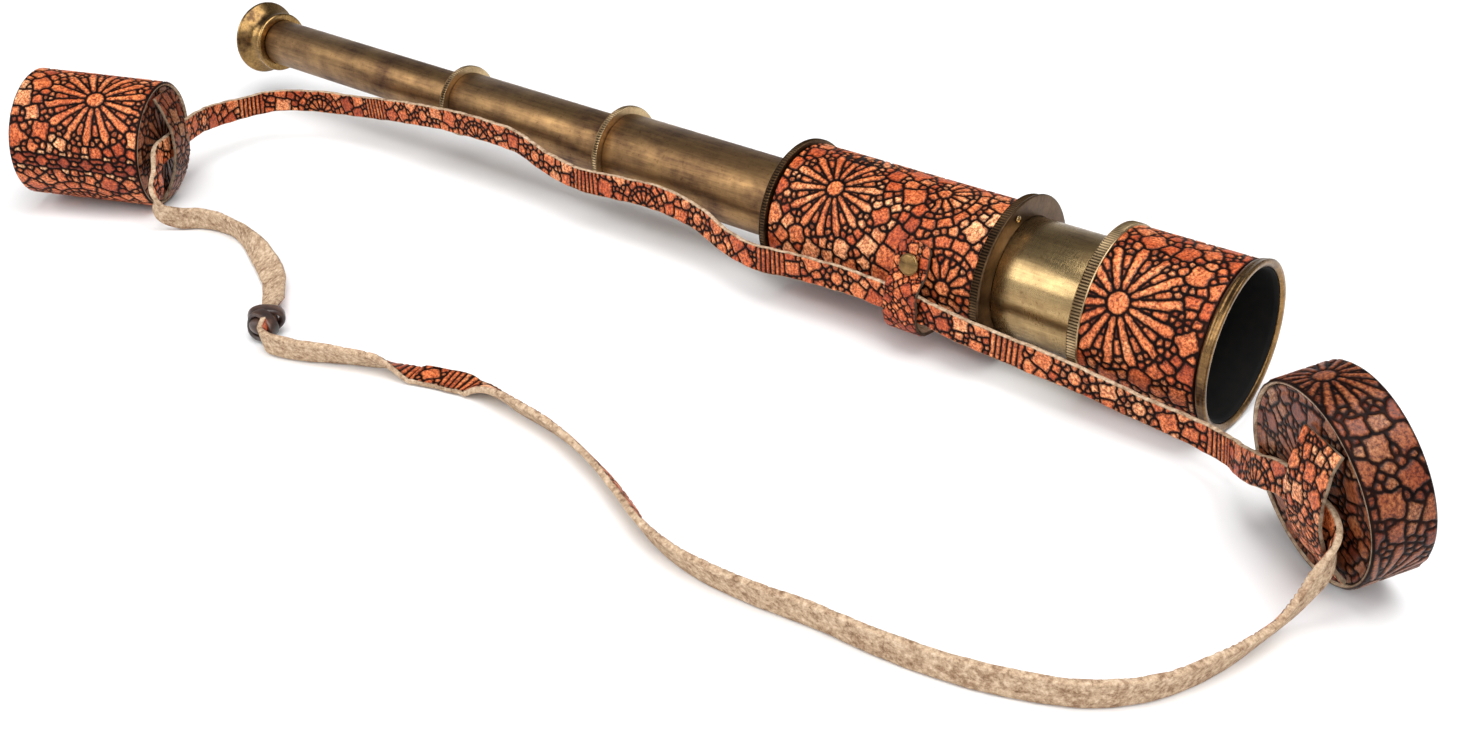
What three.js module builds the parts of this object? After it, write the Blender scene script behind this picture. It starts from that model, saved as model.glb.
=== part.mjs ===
// A three-draw brass hand telescope, pulled out to its full length and lying on a table, with its
// leather-wrapped barrel and sunshade, its two leather caps and the leather strap that carries them.
// Millimetres, +Z up, the table at z = 0. The optical axis runs along X, the objective end at +X.
import * as THREE from "three";

// ---------- driving dimensions ----------
const AXIS_HEIGHT = 26; // optical axis above the table: the flange and the rim rest on it
const BIG_SEGMENTS = 36; // facets round the barrel, the sunshade and the caps
const SMALL_SEGMENTS = 24; // facets round the draws, the lenses and the eyepiece
const GAP = 0.3; // clearance between neighbouring solids
const RUNNING = 0.35; // radial clearance of a sliding draw

// Stations along the axis, from the sunshade's front rim at x = 0 back to the eyepiece.
const RIM_REAR = -3.4;
const SHADE_RING_FRONT = -41.5;
const SHADE_RING_REAR = -43.9;
const CELL_FRONT = -33.9; // front end of the brass objective tube, inside the sunshade
const FLANGE_FRONT = -73.1;
const FLANGE_REAR = -75.5;
const BARREL_REAR = -156.9;
const DRAW3_REAR = -238.7;
const DRAW2_REAR = -321.6;
const DRAW1_REAR = -437.5;
const EYE_REAR = -450;
const COLLAR_WIDTH = 2.4;
const COLLAR_SLEEVE = 7; // how far a collar reaches forward inside its own tube
const FLANGE_SLEEVE = 8; // how far the front flange reaches back inside the barrel
const FLANGE_LIP = 0.9; // smooth lip in front of the flange's knurled band
const TUBE_OVERLAP = 4; // how far the objective tube reaches behind the flange
const STOP_LENGTH = 4; // length of the stop ring at the front of each draw

// Radii.
const RIM_RADIUS = 26;
const MOUTH_RADIUS = 23.2;
const SHADE_TUBE = { outer: 23.6, inner: 22.8 };
const SHADE_WRAP = 25;
const SHADE_RING = 25.6;
const CELL_TUBE = { outer: 19.1, inner: 18.1 };
const FLANGE_RADIUS = 26;
const FLANGE_KNURL = 25.4;
const BARREL_TUBE = { outer: 21, inner: 20.2 };
const BARREL_WRAP = 22.2;
const BARREL_RING = 23.4;
const DRAW3 = { outer: 13.7, inner: 12.9, collar: 16.4 };
const DRAW2 = { outer: 11.3, inner: 10.5, collar: 13.8 };
const DRAW1 = { outer: 9.3, inner: 8.5 };
const EYE_CUP = { lip: 15, neck: 10.6, shoulder: 12.2, hole: 5.5 };
const LENS_STOP = 16.6; // clear opening in front of the objective
const LENS_SEAT = 16.2; // clear opening of the ring behind the objective
const FLANGE_SCREW = { radius: 1.1, height: 0.7, across: -7, out: 22.8 };

// Caps, each lying on its side: heading and tilt of the line from its end disc to its open mouth.
const CAP_WALL = 1.2;
const OBJECTIVE_CAP = {
  radius: 27.4, depth: 17, disc: [43.6, -59.6], heading: 54.3, tilt: 12, band: 13, bandShift: 7.5,
};
const EYEPIECE_CAP = {
  radius: 22.9, depth: 48, disc: [-382, -97.5], heading: 212, tilt: 4, band: 12, bandShift: 0,
};
const BAND = { reach: 7.6, thickness: 1.4, seat: 0.1 };
const LID = { rear: 0.2, front: 2 }; // the end disc, set into the wall

// Strap.
const STRAP = { width: 8.5, thickness: 2 };
const KEEPER = { centre: -99.5, width: 12, thickness: 1.5 };
const KNOT = { centre: [-264.4, -143.6, 5.4], size: [13, 11, 10.4], heading: -52 };

// ---------- materials ----------
function finish(color, roughness, metalness) {
  return new THREE.MeshStandardMaterial({ color, roughness, metalness });
}
const brass = () => finish(0xa07a3c, 0.35, 1);
const agedBrass = () => finish(0x7a5530, 0.4, 1);
const leather = () => finish(0xa8562a, 0.6, 0);
const suede = () => finish(0xc2a079, 0.9, 0);
const knotLeather = () => finish(0x4a2a1c, 0.7, 0);
const glass = () => finish(0xcfdad6, 0.05, 0);

// ---------- building helpers ----------
const telescope = new THREE.Group();

function place(name, geometry, material, parent = telescope) {
  const mesh = new THREE.Mesh(geometry, material);
  mesh.name = name;
  parent.add(mesh);
  return mesh;
}

// A turned piece about the X axis. The outline is [x, radius] points, out along the outside
// towards +X and back along the bore.
function turnedShape(outline, segments) {
  const closed = [...outline, outline[0]];
  const points = closed.map(([x, radius]) => new THREE.Vector2(radius, x));
  return new THREE.LatheGeometry(points, segments).rotateZ(-Math.PI / 2);
}

function turned(name, outline, material, segments) {
  return place(name, turnedShape(outline, segments), material, onAxis);
}

function tube(name, rear, front, { outer, inner }, material, segments) {
  const outline = [[rear, inner], [rear, outer], [front, outer], [front, inner]];
  return turned(name, outline, material, segments);
}

// A lens: faces of the given bulge, flattened to a few rings.
function lens(name, middle, radius, rearBulge, frontBulge, edge) {
  const outline = [];
  const rings = [0, 0.5, 0.85, 1];
  for (const t of rings) outline.push([middle - edge / 2 - rearBulge * (1 - t * t), radius * t]);
  for (const t of rings.slice().reverse()) {
    outline.push([middle + edge / 2 + frontBulge * (1 - t * t), radius * t]);
  }
  const points = outline.map(([x, r]) => new THREE.Vector2(r, x));
  const solid = new THREE.LatheGeometry(points, SMALL_SEGMENTS).rotateZ(-Math.PI / 2);
  return place(name, solid, glass(), onAxis);
}

// A flat strap standing on edge along a smooth route.
function strapShape(route, steps) {
  const half = STRAP.width / 2;
  const thin = STRAP.thickness / 2;
  const bevel = 0.5;
  const section = new THREE.Shape();
  section.moveTo(-half, -thin + bevel);
  section.lineTo(-half + bevel, -thin);
  section.lineTo(half - bevel, -thin);
  section.lineTo(half, -thin + bevel);
  section.lineTo(half, thin - bevel);
  section.lineTo(half - bevel, thin);
  section.lineTo(-half + bevel, thin);
  section.lineTo(-half, thin - bevel);
  section.closePath();
  const curve = new THREE.CatmullRomCurve3(route.map((p) => new THREE.Vector3(...p)), false, "centripetal");
  return new THREE.ExtrudeGeometry(section, { steps, extrudePath: curve });
}

const onAxis = new THREE.Group();
onAxis.position.z = AXIS_HEIGHT;
telescope.add(onAxis);

// ---------- sunshade ----------
turned("sunshade_front_rim", [
  [RIM_REAR, SHADE_TUBE.outer + GAP],
  [RIM_REAR, RIM_RADIUS - 0.7],
  [RIM_REAR + 1, RIM_RADIUS],
  [-0.5, RIM_RADIUS],
  [0, RIM_RADIUS - 0.5],
  [0, MOUTH_RADIUS + 0.4],
  [-0.4, MOUTH_RADIUS],
  [-0.8, MOUTH_RADIUS],
  [-0.8, SHADE_TUBE.outer + GAP],
], brass(), BIG_SEGMENTS);
tube("sunshade_tube", SHADE_RING_FRONT + GAP, -0.8 - GAP, SHADE_TUBE, brass(), BIG_SEGMENTS);
tube("sunshade_leather_wrap", SHADE_RING_FRONT + GAP, RIM_REAR - GAP,
  { outer: SHADE_WRAP, inner: SHADE_TUBE.outer + GAP }, leather(), BIG_SEGMENTS);
turned("sunshade_rear_ring", [
  [SHADE_RING_REAR, CELL_TUBE.outer + RUNNING],
  [SHADE_RING_REAR, SHADE_RING - 0.4],
  [SHADE_RING_REAR + 0.4, SHADE_RING],
  [SHADE_RING_FRONT, SHADE_RING],
  [SHADE_RING_FRONT, SHADE_TUBE.inner - GAP],
  [CELL_FRONT - GAP, SHADE_TUBE.inner - GAP],
  [CELL_FRONT - GAP, CELL_TUBE.outer + RUNNING],
], brass(), BIG_SEGMENTS);

// ---------- objective ----------
tube("objective_tube", FLANGE_REAR - TUBE_OVERLAP, CELL_FRONT, CELL_TUBE, brass(), BIG_SEGMENTS);
tube("objective_stop_ring", CELL_FRONT + GAP, CELL_FRONT + 3.3,
  { outer: SHADE_TUBE.inner - 0.5, inner: LENS_STOP }, brass(), BIG_SEGMENTS);
lens("objective_front_lens", CELL_FRONT - 2.6, CELL_TUBE.inner - GAP, 1, 1, 1.6);
lens("objective_rear_lens", CELL_FRONT - 6.8, CELL_TUBE.inner - GAP, 0.4, -0.9, 3.2);
tube("objective_seat_ring", CELL_FRONT - 11.6, CELL_FRONT - 9.4,
  { outer: CELL_TUBE.inner - GAP, inner: LENS_SEAT }, agedBrass(), BIG_SEGMENTS);

// ---------- barrel ----------
turned("barrel_front_flange", [
  [FLANGE_REAR - FLANGE_SLEEVE, CELL_TUBE.outer + GAP],
  [FLANGE_REAR - FLANGE_SLEEVE, BARREL_TUBE.inner - GAP],
  [FLANGE_REAR, BARREL_TUBE.inner - GAP],
  [FLANGE_REAR, FLANGE_KNURL],
  [FLANGE_FRONT - FLANGE_LIP, FLANGE_KNURL],
  [FLANGE_FRONT - FLANGE_LIP, FLANGE_RADIUS],
  [FLANGE_FRONT, FLANGE_RADIUS],
  [FLANGE_FRONT, CELL_TUBE.outer + GAP],
], brass(), BIG_SEGMENTS);
const flangeScrew = turned("flange_screw", [
  [FLANGE_FRONT + GAP, 0],
  [FLANGE_FRONT + GAP, FLANGE_SCREW.radius],
  [FLANGE_FRONT + FLANGE_SCREW.height, FLANGE_SCREW.radius],
  [FLANGE_FRONT + GAP + FLANGE_SCREW.height, FLANGE_SCREW.radius / 2],
  [FLANGE_FRONT + GAP + FLANGE_SCREW.height, 0],
], brass(), 12);
const screwHeight = Math.sqrt(FLANGE_SCREW.out ** 2 - FLANGE_SCREW.across ** 2);
flangeScrew.position.set(0, FLANGE_SCREW.across, screwHeight);
tube("barrel_tube", BARREL_REAR + GAP, FLANGE_REAR - GAP, BARREL_TUBE, brass(), BIG_SEGMENTS);
tube("barrel_leather_wrap", BARREL_REAR + GAP, FLANGE_REAR - GAP,
  { outer: BARREL_WRAP, inner: BARREL_TUBE.outer + GAP }, leather(), BIG_SEGMENTS);

// A collar closes the rear of one tube and guides the next draw in its bore: a ring outside,
// and a sleeve that reaches forward inside its own tube.
function collar(name, front, ring, ownInner, bore, material, segments) {
  const rear = front - COLLAR_WIDTH;
  turned(name, [
    [rear, bore],
    [rear, ring - 0.4],
    [rear + 0.4, ring],
    [front, ring],
    [front, ownInner - GAP],
    [front + COLLAR_SLEEVE, ownInner - GAP],
    [front + COLLAR_SLEEVE, bore],
  ], material, segments);
}

collar("barrel_rear_ring", BARREL_REAR, BARREL_RING, BARREL_TUBE.inner, DRAW3.outer + RUNNING, brass(),
  BIG_SEGMENTS);

// ---------- draws ----------
// Each draw is a tube, a collar at its rear that guides the next one, and a stop ring at its front
// that meets the sleeve it slides in when it is fully out.
function draw(name, rear, { outer, inner }, sleeveFront, stopRadius) {
  const front = sleeveFront + GAP + STOP_LENGTH;
  tube(`${name}_tube`, rear + GAP, front, { outer, inner }, agedBrass(), SMALL_SEGMENTS);
  tube(`${name}_stop_ring`, front - STOP_LENGTH, front, { outer: stopRadius, inner: outer + GAP }, brass(),
    SMALL_SEGMENTS);
}
draw("draw3", DRAW3_REAR, DRAW3, BARREL_REAR + COLLAR_SLEEVE, CELL_TUBE.inner - 0.4);
collar("draw3_collar", DRAW3_REAR, DRAW3.collar, DRAW3.inner, DRAW2.outer + RUNNING, brass(), SMALL_SEGMENTS);
draw("draw2", DRAW2_REAR, DRAW2, DRAW3_REAR + COLLAR_SLEEVE, DRAW3.inner - RUNNING);
collar("draw2_collar", DRAW2_REAR, DRAW2.collar, DRAW2.inner, DRAW1.outer + RUNNING, brass(), SMALL_SEGMENTS);
draw("draw1", DRAW1_REAR, DRAW1, DRAW2_REAR + COLLAR_SLEEVE, DRAW2.inner - RUNNING);

// Erector lenses in their own short tube at the front of the first draw.
const ERECTOR = { outer: DRAW1.inner - GAP, inner: 7.4 };
const ERECTOR_FRONT = DRAW2_REAR + 9;
const ERECTOR_REAR = ERECTOR_FRONT - 26;
tube("erector_tube", ERECTOR_REAR, ERECTOR_FRONT, ERECTOR, agedBrass(), SMALL_SEGMENTS);
lens("erector_front_lens", ERECTOR_FRONT - 4, ERECTOR.inner - GAP, 0.8, 0.8, 1);
lens("erector_rear_lens", ERECTOR_REAR + 4, ERECTOR.inner - GAP, 0.8, 0.8, 1);

// ---------- eyepiece ----------
turned("eyepiece_shoulder_ring", [
  [DRAW1_REAR - 2.4, DRAW1.inner],
  [DRAW1_REAR - 2.4, EYE_CUP.shoulder - 0.4],
  [DRAW1_REAR - 2, EYE_CUP.shoulder],
  [DRAW1_REAR - 0.4, EYE_CUP.shoulder],
  [DRAW1_REAR, EYE_CUP.shoulder - 0.4],
  [DRAW1_REAR, DRAW1.inner],
], brass(), SMALL_SEGMENTS);
const CUP_FRONT = DRAW1_REAR - 2.4 - GAP;
turned("eyepiece_cup", [
  [EYE_REAR + 1.8, EYE_CUP.hole],
  [EYE_REAR + 1.2, 9],
  [EYE_REAR, 12.6],
  [EYE_REAR, EYE_CUP.lip - 0.8],
  [EYE_REAR + 0.8, EYE_CUP.lip],
  [EYE_REAR + 2.2, EYE_CUP.lip - 0.3],
  [EYE_REAR + 4.6, EYE_CUP.neck + 1.4],
  [CUP_FRONT - 2.2, EYE_CUP.neck],
  [CUP_FRONT, EYE_CUP.neck + 0.3],
  [CUP_FRONT, DRAW1.inner],
  [EYE_REAR + 3.6, DRAW1.inner],
  [EYE_REAR + 3.6, EYE_CUP.hole],
], brass(), SMALL_SEGMENTS);
lens("eye_lens", EYE_REAR + 6.2, DRAW1.inner - GAP, 0.9, 0.9, 1);
lens("field_lens", DRAW1_REAR + 12, DRAW1.inner - GAP, 0.9, 0.9, 1);

// ---------- strap keeper on the barrel ----------
// A leather tab that lies on the wrap, bows out round the strap and tucks back against the wrap.
function keeperOutline() {
  const lie = BARREL_WRAP + GAP;
  const at = (radius, degrees) => {
    const a = THREE.MathUtils.degToRad(degrees);
    return [-radius * Math.cos(a), AXIS_HEIGHT + radius * Math.sin(a)];
  };
  const inside = [at(lie, 30), at(lie, 22), at(lie, 13), at(lie, 4), [-24.4, 26.2], [-26.4, 24.7], [-27.3, 22.5],
    [-27.3, 14.6], [-25.8, 11.4], [-22.2, 9.2], at(lie + 0.3, -52), at(lie, -60), at(lie, -68)];
  const outside = inside.map(([y, z], i) => {
    const [y0, z0] = inside[Math.max(i - 1, 0)];
    const [y1, z1] = inside[Math.min(i + 1, inside.length - 1)];
    const length = Math.hypot(y1 - y0, z1 - z0);
    return [y + (z1 - z0) / length * KEEPER.thickness, z - (y1 - y0) / length * KEEPER.thickness];
  });
  return [...inside, ...outside.reverse()];
}
const keeperShape = new THREE.Shape(keeperOutline().map(([y, z]) => new THREE.Vector2(y, z)));
const keeperBody = new THREE.ExtrudeGeometry(keeperShape, { depth: KEEPER.width, bevelEnabled: false });
// The outline's y and z become the part's Y and Z, and the extrusion runs along X.
const keeperStart = KEEPER.centre - KEEPER.width / 2;
keeperBody.applyMatrix4(new THREE.Matrix4().set(0, 0, 1, keeperStart, 1, 0, 0, 0, 0, 1, 0, 0, 0, 0, 0, 1));
place("strap_keeper", keeperBody, leather());

const STUD = { radius: 2.7, height: 1.5, angle: 12 };
const studSpot = THREE.MathUtils.degToRad(STUD.angle);
const studSeat = BARREL_WRAP + KEEPER.thickness + 3 * GAP + 0.3;
const studGeometry = turnedShape([
  [0, 0],
  [0, STUD.radius],
  [STUD.height * 0.45, STUD.radius * 0.92],
  [STUD.height * 0.85, STUD.radius * 0.55],
  [STUD.height, 0],
], 16);
const stud = place("keeper_stud", studGeometry, brass());
stud.position.set(KEEPER.centre, -studSeat * Math.cos(studSpot), AXIS_HEIGHT + studSeat * Math.sin(studSpot));
stud.rotation.set(0, studSpot, -Math.PI / 2, "ZXY");

// ---------- caps ----------
// In a cap's own frame X runs from the end disc to the mouth and Z is up.
function cap(name, { radius, depth, disc, heading, tilt, band, bandShift }) {
  const group = new THREE.Group();
  const lean = THREE.MathUtils.degToRad(tilt);
  group.position.set(disc[0], disc[1], radius * Math.cos(lean));
  group.rotation.set(0, -lean, THREE.MathUtils.degToRad(heading), "ZYX");
  telescope.add(group);
  const wall = [[0, radius - CAP_WALL], [0, radius], [depth, radius], [depth, radius - CAP_WALL]];
  place(`${name}_wall`, turnedShape(wall, BIG_SEGMENTS), leather(), group);
  const lidRadius = radius - CAP_WALL - GAP;
  const lid = [[LID.rear, 0], [LID.rear, lidRadius], [LID.front, lidRadius], [LID.front, 0]];
  const lidPoints = lid.map(([x, r]) => new THREE.Vector2(r, x));
  const lidSolid = new THREE.LatheGeometry(lidPoints, BIG_SEGMENTS).rotateZ(-Math.PI / 2);
  place(`${name}_disc`, lidSolid, leather(), group);
  const inner = radius - CAP_WALL - 1;
  const reach = Math.sqrt(inner ** 2 - (band / 2 + bandShift) ** 2);
  place(`${name}_band`, bandShape(reach, band), leather(), group).position.y = -bandShift;
  return group;
}

// A bowed band across the disc, from top to bottom, that leaves a slot for the strap behind it.
function bandShape(reachUp, width) {
  const steps = 10;
  const bow = (offset) => Array.from({ length: steps + 1 }, (_, i) => {
    const t = i / steps * 2 - 1;
    return new THREE.Vector2(offset - (BAND.reach - BAND.thickness) * (1 - t * t), reachUp * t);
  });
  const inside = bow(-BAND.seat);
  const outside = bow(-BAND.seat - BAND.thickness).reverse();
  const shape = new THREE.Shape([...inside, ...outside]);
  const geometry = new THREE.ExtrudeGeometry(shape, { depth: width, bevelEnabled: false });
  // The outline's x and y become the cap's X and Z, and the extrusion runs along its Y.
  const upright = new THREE.Matrix4().set(1, 0, 0, 0, 0, 0, -1, width / 2, 0, 1, 0, 0, 0, 0, 0, 1);
  return geometry.applyMatrix4(upright);
}
cap("objective_cap", OBJECTIVE_CAP);
cap("eyepiece_cap", EYEPIECE_CAP);

// ---------- strap ----------
// The far run: from the objective cap's slot, along the telescope, through the keeper, to the
// eyepiece cap's slot.
const FAR_RUN = [
  [46.5, -65.4, 25.3], [36.1, -58, 24.8], [28, -52.2, 21.2], [20, -43, 16.2], [11.5, -33, 12], [0, -28.4, 11],
  [-18, -28.2, 12.5], [-38, -28.2, 14.8], [-60, -28.2, 16.2], [-79, -27.6, 17.2], [-90, -26.3, 17.8],
  [-99.5, -25.6, 18.4], [-109, -25.7, 19], [-120, -26, 19.6], [-141, -26.8, 19], [-158, -27, 17.6],
  [-172, -25, 18.6], [-186, -22, 21.6], [-205, -20.5, 23.2], [-225, -20.5, 22], [-243, -20.5, 20.6],
  [-260, -20, 22.5], [-275, -19.5, 26.4], [-290, -19.2, 26.8], [-313, -19, 25.8], [-342, -19, 22.6],
  [-368, -19.5, 19], [-388, -23, 17.4], [-401, -33, 17.4], [-403, -48, 18], [-400.5, -62, 19.6],
  [-393.5, -74, 22], [-386.2, -84.8, 23.2], [-379.6, -95.4, 23.2],
];
// The near run: out of the objective cap's slot, round the front of the table to the knot.
const NEAR_RUN = [
  [47.1, -65.6, 25.3], [52.3, -69.3, 24.9], [55.4, -71.6, 22.8], [56.2, -74.8, 17.5], [54.4, -79.5, 11],
  [52, -87, 6], [50, -97, 4.6], [47, -110, 4.6], [40, -127, 4.6], [28.5, -139.5, 4.6], [12, -147.5, 4.6],
  [-2, -151.5, 4.6], [-19, -154, 4.6], [-37, -155, 4.6], [-56, -157.5, 4.6], [-76, -157.5, 4.6],
  [-93, -153, 4.6], [-107, -146, 4.6], [-123, -138.8, 4.6], [-146, -131.6, 4.6], [-169, -128.6, 4.6],
  [-184, -126.5, 4.6], [-198, -129.5, 4.6], [-215, -135.5, 4.6], [-231, -142.5, 4.6], [-243, -148.4, 4.6],
  [-254.4, -151, 5],
];
// The short tail: from the eyepiece cap's slot to the knot.
const TAIL_RUN = [
  [-379, -96.2, 23.2], [-372.6, -106.8, 22.6], [-366.4, -111.8, 18], [-363.4, -115.4, 12],
  [-361, -115.2, 7], [-356.5, -111.4, 4.8], [-351.4, -106.6, 4.6], [-342, -104, 4.6], [-330, -105, 4.6],
  [-316, -109, 4.6], [-303, -113.8, 4.6], [-297, -116.7, 4.6], [-291, -120, 4.6], [-279.5, -129, 4.6],
  [-272, -135.3, 5],
];
place("strap_far_run", strapShape(FAR_RUN, 78), leather());
place("strap_near_run", strapShape(NEAR_RUN, 70), suede());
place("strap_tail", strapShape(TAIL_RUN, 36), suede());

// ---------- knot ----------
function knotShape([length, width, height]) {
  const outline = new THREE.Shape();
  const corner = 2.6;
  outline.moveTo(-length / 2 + corner, -width / 2);
  outline.lineTo(length / 2 - corner, -width / 2);
  outline.lineTo(length / 2, -width / 2 + corner);
  outline.lineTo(length / 2, width / 2 - corner);
  outline.lineTo(length / 2 - corner, width / 2);
  outline.lineTo(-length / 2 + corner, width / 2);
  outline.lineTo(-length / 2, width / 2 - corner);
  outline.lineTo(-length / 2, -width / 2 + corner);
  outline.closePath();
  const geometry = new THREE.ExtrudeGeometry(outline, { depth: height, bevelEnabled: false });
  return geometry.translate(0, 0, -height / 2);
}
const knot = place("strap_knot", knotShape(KNOT.size), knotLeather());
knot.position.set(...KNOT.centre);
knot.rotation.z = THREE.MathUtils.degToRad(KNOT.heading);

// ---------- frame ----------
// The origin is on the table, under the middle of the box that holds the telescope and its caps,
// with the loose strap left out.
telescope.updateMatrixWorld(true);
const rigidBox = new THREE.Box3();
telescope.traverse((piece) => {
  const loose = piece.name.startsWith("strap_") && piece.name !== "strap_keeper";
  if (piece.isMesh && !loose) rigidBox.expandByObject(piece, true);
});
const middle = rigidBox.getCenter(new THREE.Vector3());
telescope.position.set(-middle.x, -middle.y, 0);

export default telescope;
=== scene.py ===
import math
import random

import bpy
import numpy as np
from mathutils import Matrix, Vector


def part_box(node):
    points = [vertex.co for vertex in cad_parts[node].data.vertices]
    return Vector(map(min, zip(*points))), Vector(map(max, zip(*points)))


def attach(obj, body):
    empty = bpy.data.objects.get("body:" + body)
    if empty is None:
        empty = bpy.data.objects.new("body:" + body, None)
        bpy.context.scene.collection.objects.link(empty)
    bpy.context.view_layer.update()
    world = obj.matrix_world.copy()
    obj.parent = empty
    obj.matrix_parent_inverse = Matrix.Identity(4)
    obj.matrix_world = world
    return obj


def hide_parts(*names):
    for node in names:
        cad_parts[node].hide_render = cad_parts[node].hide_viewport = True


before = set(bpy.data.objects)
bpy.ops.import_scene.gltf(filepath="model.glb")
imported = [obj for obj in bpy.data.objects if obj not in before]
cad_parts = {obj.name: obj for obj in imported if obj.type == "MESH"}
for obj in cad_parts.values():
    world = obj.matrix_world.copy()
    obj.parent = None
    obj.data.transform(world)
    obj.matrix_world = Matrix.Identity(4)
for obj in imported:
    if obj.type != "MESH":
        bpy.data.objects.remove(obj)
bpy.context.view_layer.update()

# A brass draw telescope with embossed leather, its two caps and their strap. Metres, +Z up.
MM = 0.001


def span(node):
    """A turned node's rear and front x and its outer radius."""
    low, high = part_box(node)
    return low.x, high.x, (high.z - low.z) / 2


def centre(node):
    low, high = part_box(node)
    return (low + high) / 2


# Routes are measured from the middle of the sunshade's front rim, on the table.
RIM = Vector((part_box("sunshade_front_rim")[1].x, centre("sunshade_front_rim").y, 0))
AXIS_Y = RIM.y
AXIS_Z = centre("sunshade_front_rim").z

# ---------- camera ----------
CAMERA_PLACE = Vector((0.15803, -0.42169, 0.25319))
CAMERA_RIGHT = Vector((0.77499, 0.63198, 0))
CAMERA_UP = Vector((-0.30539, 0.37450, 0.87549))
CAMERA_BACK = Vector((0.55329, -0.67849, 0.48324))


def make_camera():
    camera = bpy.data.objects.new("camera", bpy.data.cameras.new("camera"))
    bpy.context.scene.collection.objects.link(camera)
    turn = Matrix((CAMERA_RIGHT, CAMERA_UP, CAMERA_BACK)).transposed().to_4x4()
    camera.matrix_world = Matrix.Translation(RIM + CAMERA_PLACE) @ turn
    camera.data.sensor_fit = "HORIZONTAL"
    camera.data.sensor_width = 36
    camera.data.lens = 41.35
    camera.data.clip_start = 0.01
    camera.data.clip_end = 20
    bpy.context.scene.camera = camera


make_camera()


# ---------- meshes ----------
def add_object(name, points, faces, attributes=None):
    mesh = bpy.data.meshes.new(name)
    mesh.vertices.add(len(points))
    mesh.vertices.foreach_set("co", np.asarray(points, np.float32).ravel())
    sizes = np.array([len(f) for f in faces], np.int32) if isinstance(faces, list) else None
    if sizes is None:
        sizes = np.full(len(faces), faces.shape[1], np.int32)
        flat = faces.ravel().astype(np.int32)
    else:
        flat = np.array([i for f in faces for i in f], np.int32)
    mesh.loops.add(len(flat))
    mesh.loops.foreach_set("vertex_index", flat)
    mesh.polygons.add(len(sizes))
    mesh.polygons.foreach_set("loop_start", np.concatenate(([0], np.cumsum(sizes)[:-1])).astype(np.int32))
    for key, values in (attributes or {}).items():
        layer = mesh.attributes.new(key, "FLOAT", "POINT")
        layer.data.foreach_set("value", np.asarray(values, np.float32).ravel())
    mesh.update(calc_edges=True)
    mesh.validate()
    mesh.polygons.foreach_set("use_smooth", np.ones(len(mesh.polygons), bool))
    piece = bpy.data.objects.new(name, mesh)
    bpy.context.scene.collection.objects.link(piece)
    return piece


def grid_faces(rows, columns, wrap_rows=False, wrap_columns=False):
    """Quads over a grid of rows x columns points, in row-major order."""
    i = np.arange(rows if wrap_rows else rows - 1)
    j = np.arange(columns if wrap_columns else columns - 1)
    a, b = np.meshgrid(i, j, indexing="ij")
    a2 = (a + 1) % rows
    b2 = (b + 1) % columns
    return np.stack([a * columns + b, a * columns + b2, a2 * columns + b2, a2 * columns + b], -1).reshape(-1, 4)


def sharpen(piece, degrees=32):
    """Marks the edges that stay crisp."""
    mesh = piece.data
    normals = np.zeros(len(mesh.polygons) * 3, np.float32)
    mesh.polygons.foreach_get("normal", normals)
    normals = normals.reshape(-1, 3)
    loop_edges = np.zeros(len(mesh.loops), np.int32)
    mesh.loops.foreach_get("edge_index", loop_edges)
    counts = np.zeros(len(mesh.polygons), np.int32)
    mesh.polygons.foreach_get("loop_total", counts)
    faces = np.repeat(np.arange(len(counts)), counts)
    order = np.argsort(loop_edges, kind="stable")
    edges, faces = loop_edges[order], faces[order]
    same = np.nonzero(edges[1:] == edges[:-1])[0]
    cosine = (normals[faces[same]] * normals[faces[same + 1]]).sum(-1)
    sharp = np.zeros(len(mesh.edges), bool)
    sharp[edges[same]] = cosine < math.cos(math.radians(degrees))
    mesh.attributes.new("sharp_edge", "BOOLEAN", "EDGE").data.foreach_set("value", sharp)
    return piece


def rounded(profile, radius, closed=True):
    """The profile with each corner eased by a short curve."""
    made = []
    count = len(profile)
    for i, point in enumerate(profile):
        if not closed and i in (0, count - 1):
            made.append(tuple(point))
            continue
        here = np.array(point, float)
        before = np.array(profile[i - 1], float) - here
        after = np.array(profile[(i + 1) % count], float) - here
        reach = min(radius, 0.4 * np.linalg.norm(before), 0.4 * np.linalg.norm(after))
        start = here + before / np.linalg.norm(before) * reach
        end = here + after / np.linalg.norm(after) * reach
        for t in (0, 0.5, 1):
            made.append(tuple(start * (1 - t) ** 2 + here * 2 * t * (1 - t) + end * t * t))
    return made


def lathe(name, profile, segments=160, closed=True, ease=0.15 * MM, teeth=0, depth=0.4 * MM, tooth_span=None):
    """A turned piece about the telescope's axis. profile is [x, radius] points in metres, rear to
    front along the outside and back along the bore. Teeth are knurled where x lies in tooth_span,
    and their grooves get a mask along which the brass paints shade."""
    points = rounded(profile, ease, closed)
    if teeth:
        segments = teeth * 4
    angle = np.arange(segments) / segments * 2 * math.pi
    wave = np.zeros(segments)
    if teeth:
        wave = np.array([0, 0.5, 1, 0.5])[np.arange(segments) % 4]
    outer = max(r for _, r in points)
    rows = []
    painted_knurl_shade_rows = []
    for x, r in points:
        cut = 0
        if teeth and tooth_span[0] <= x <= tooth_span[1] and r > outer - 1.1 * MM:
            cut = depth
        # The grooves' mask for painted shade: the brass darkens the knurl's valleys where shade would fall.
        painted_knurl_shade_rows.append(wave * (cut > 0))
        radius = r - wave * cut
        rows.append(np.stack([np.full(segments, x), AXIS_Y + radius * np.sin(angle), AXIS_Z + radius * np.cos(angle)], -1))
    faces = grid_faces(len(rows), segments, wrap_rows=closed, wrap_columns=True)
    return sharpen(add_object(name, np.concatenate(rows), faces, {"painted_knurl_shade": np.concatenate(painted_knurl_shade_rows)}))


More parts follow.
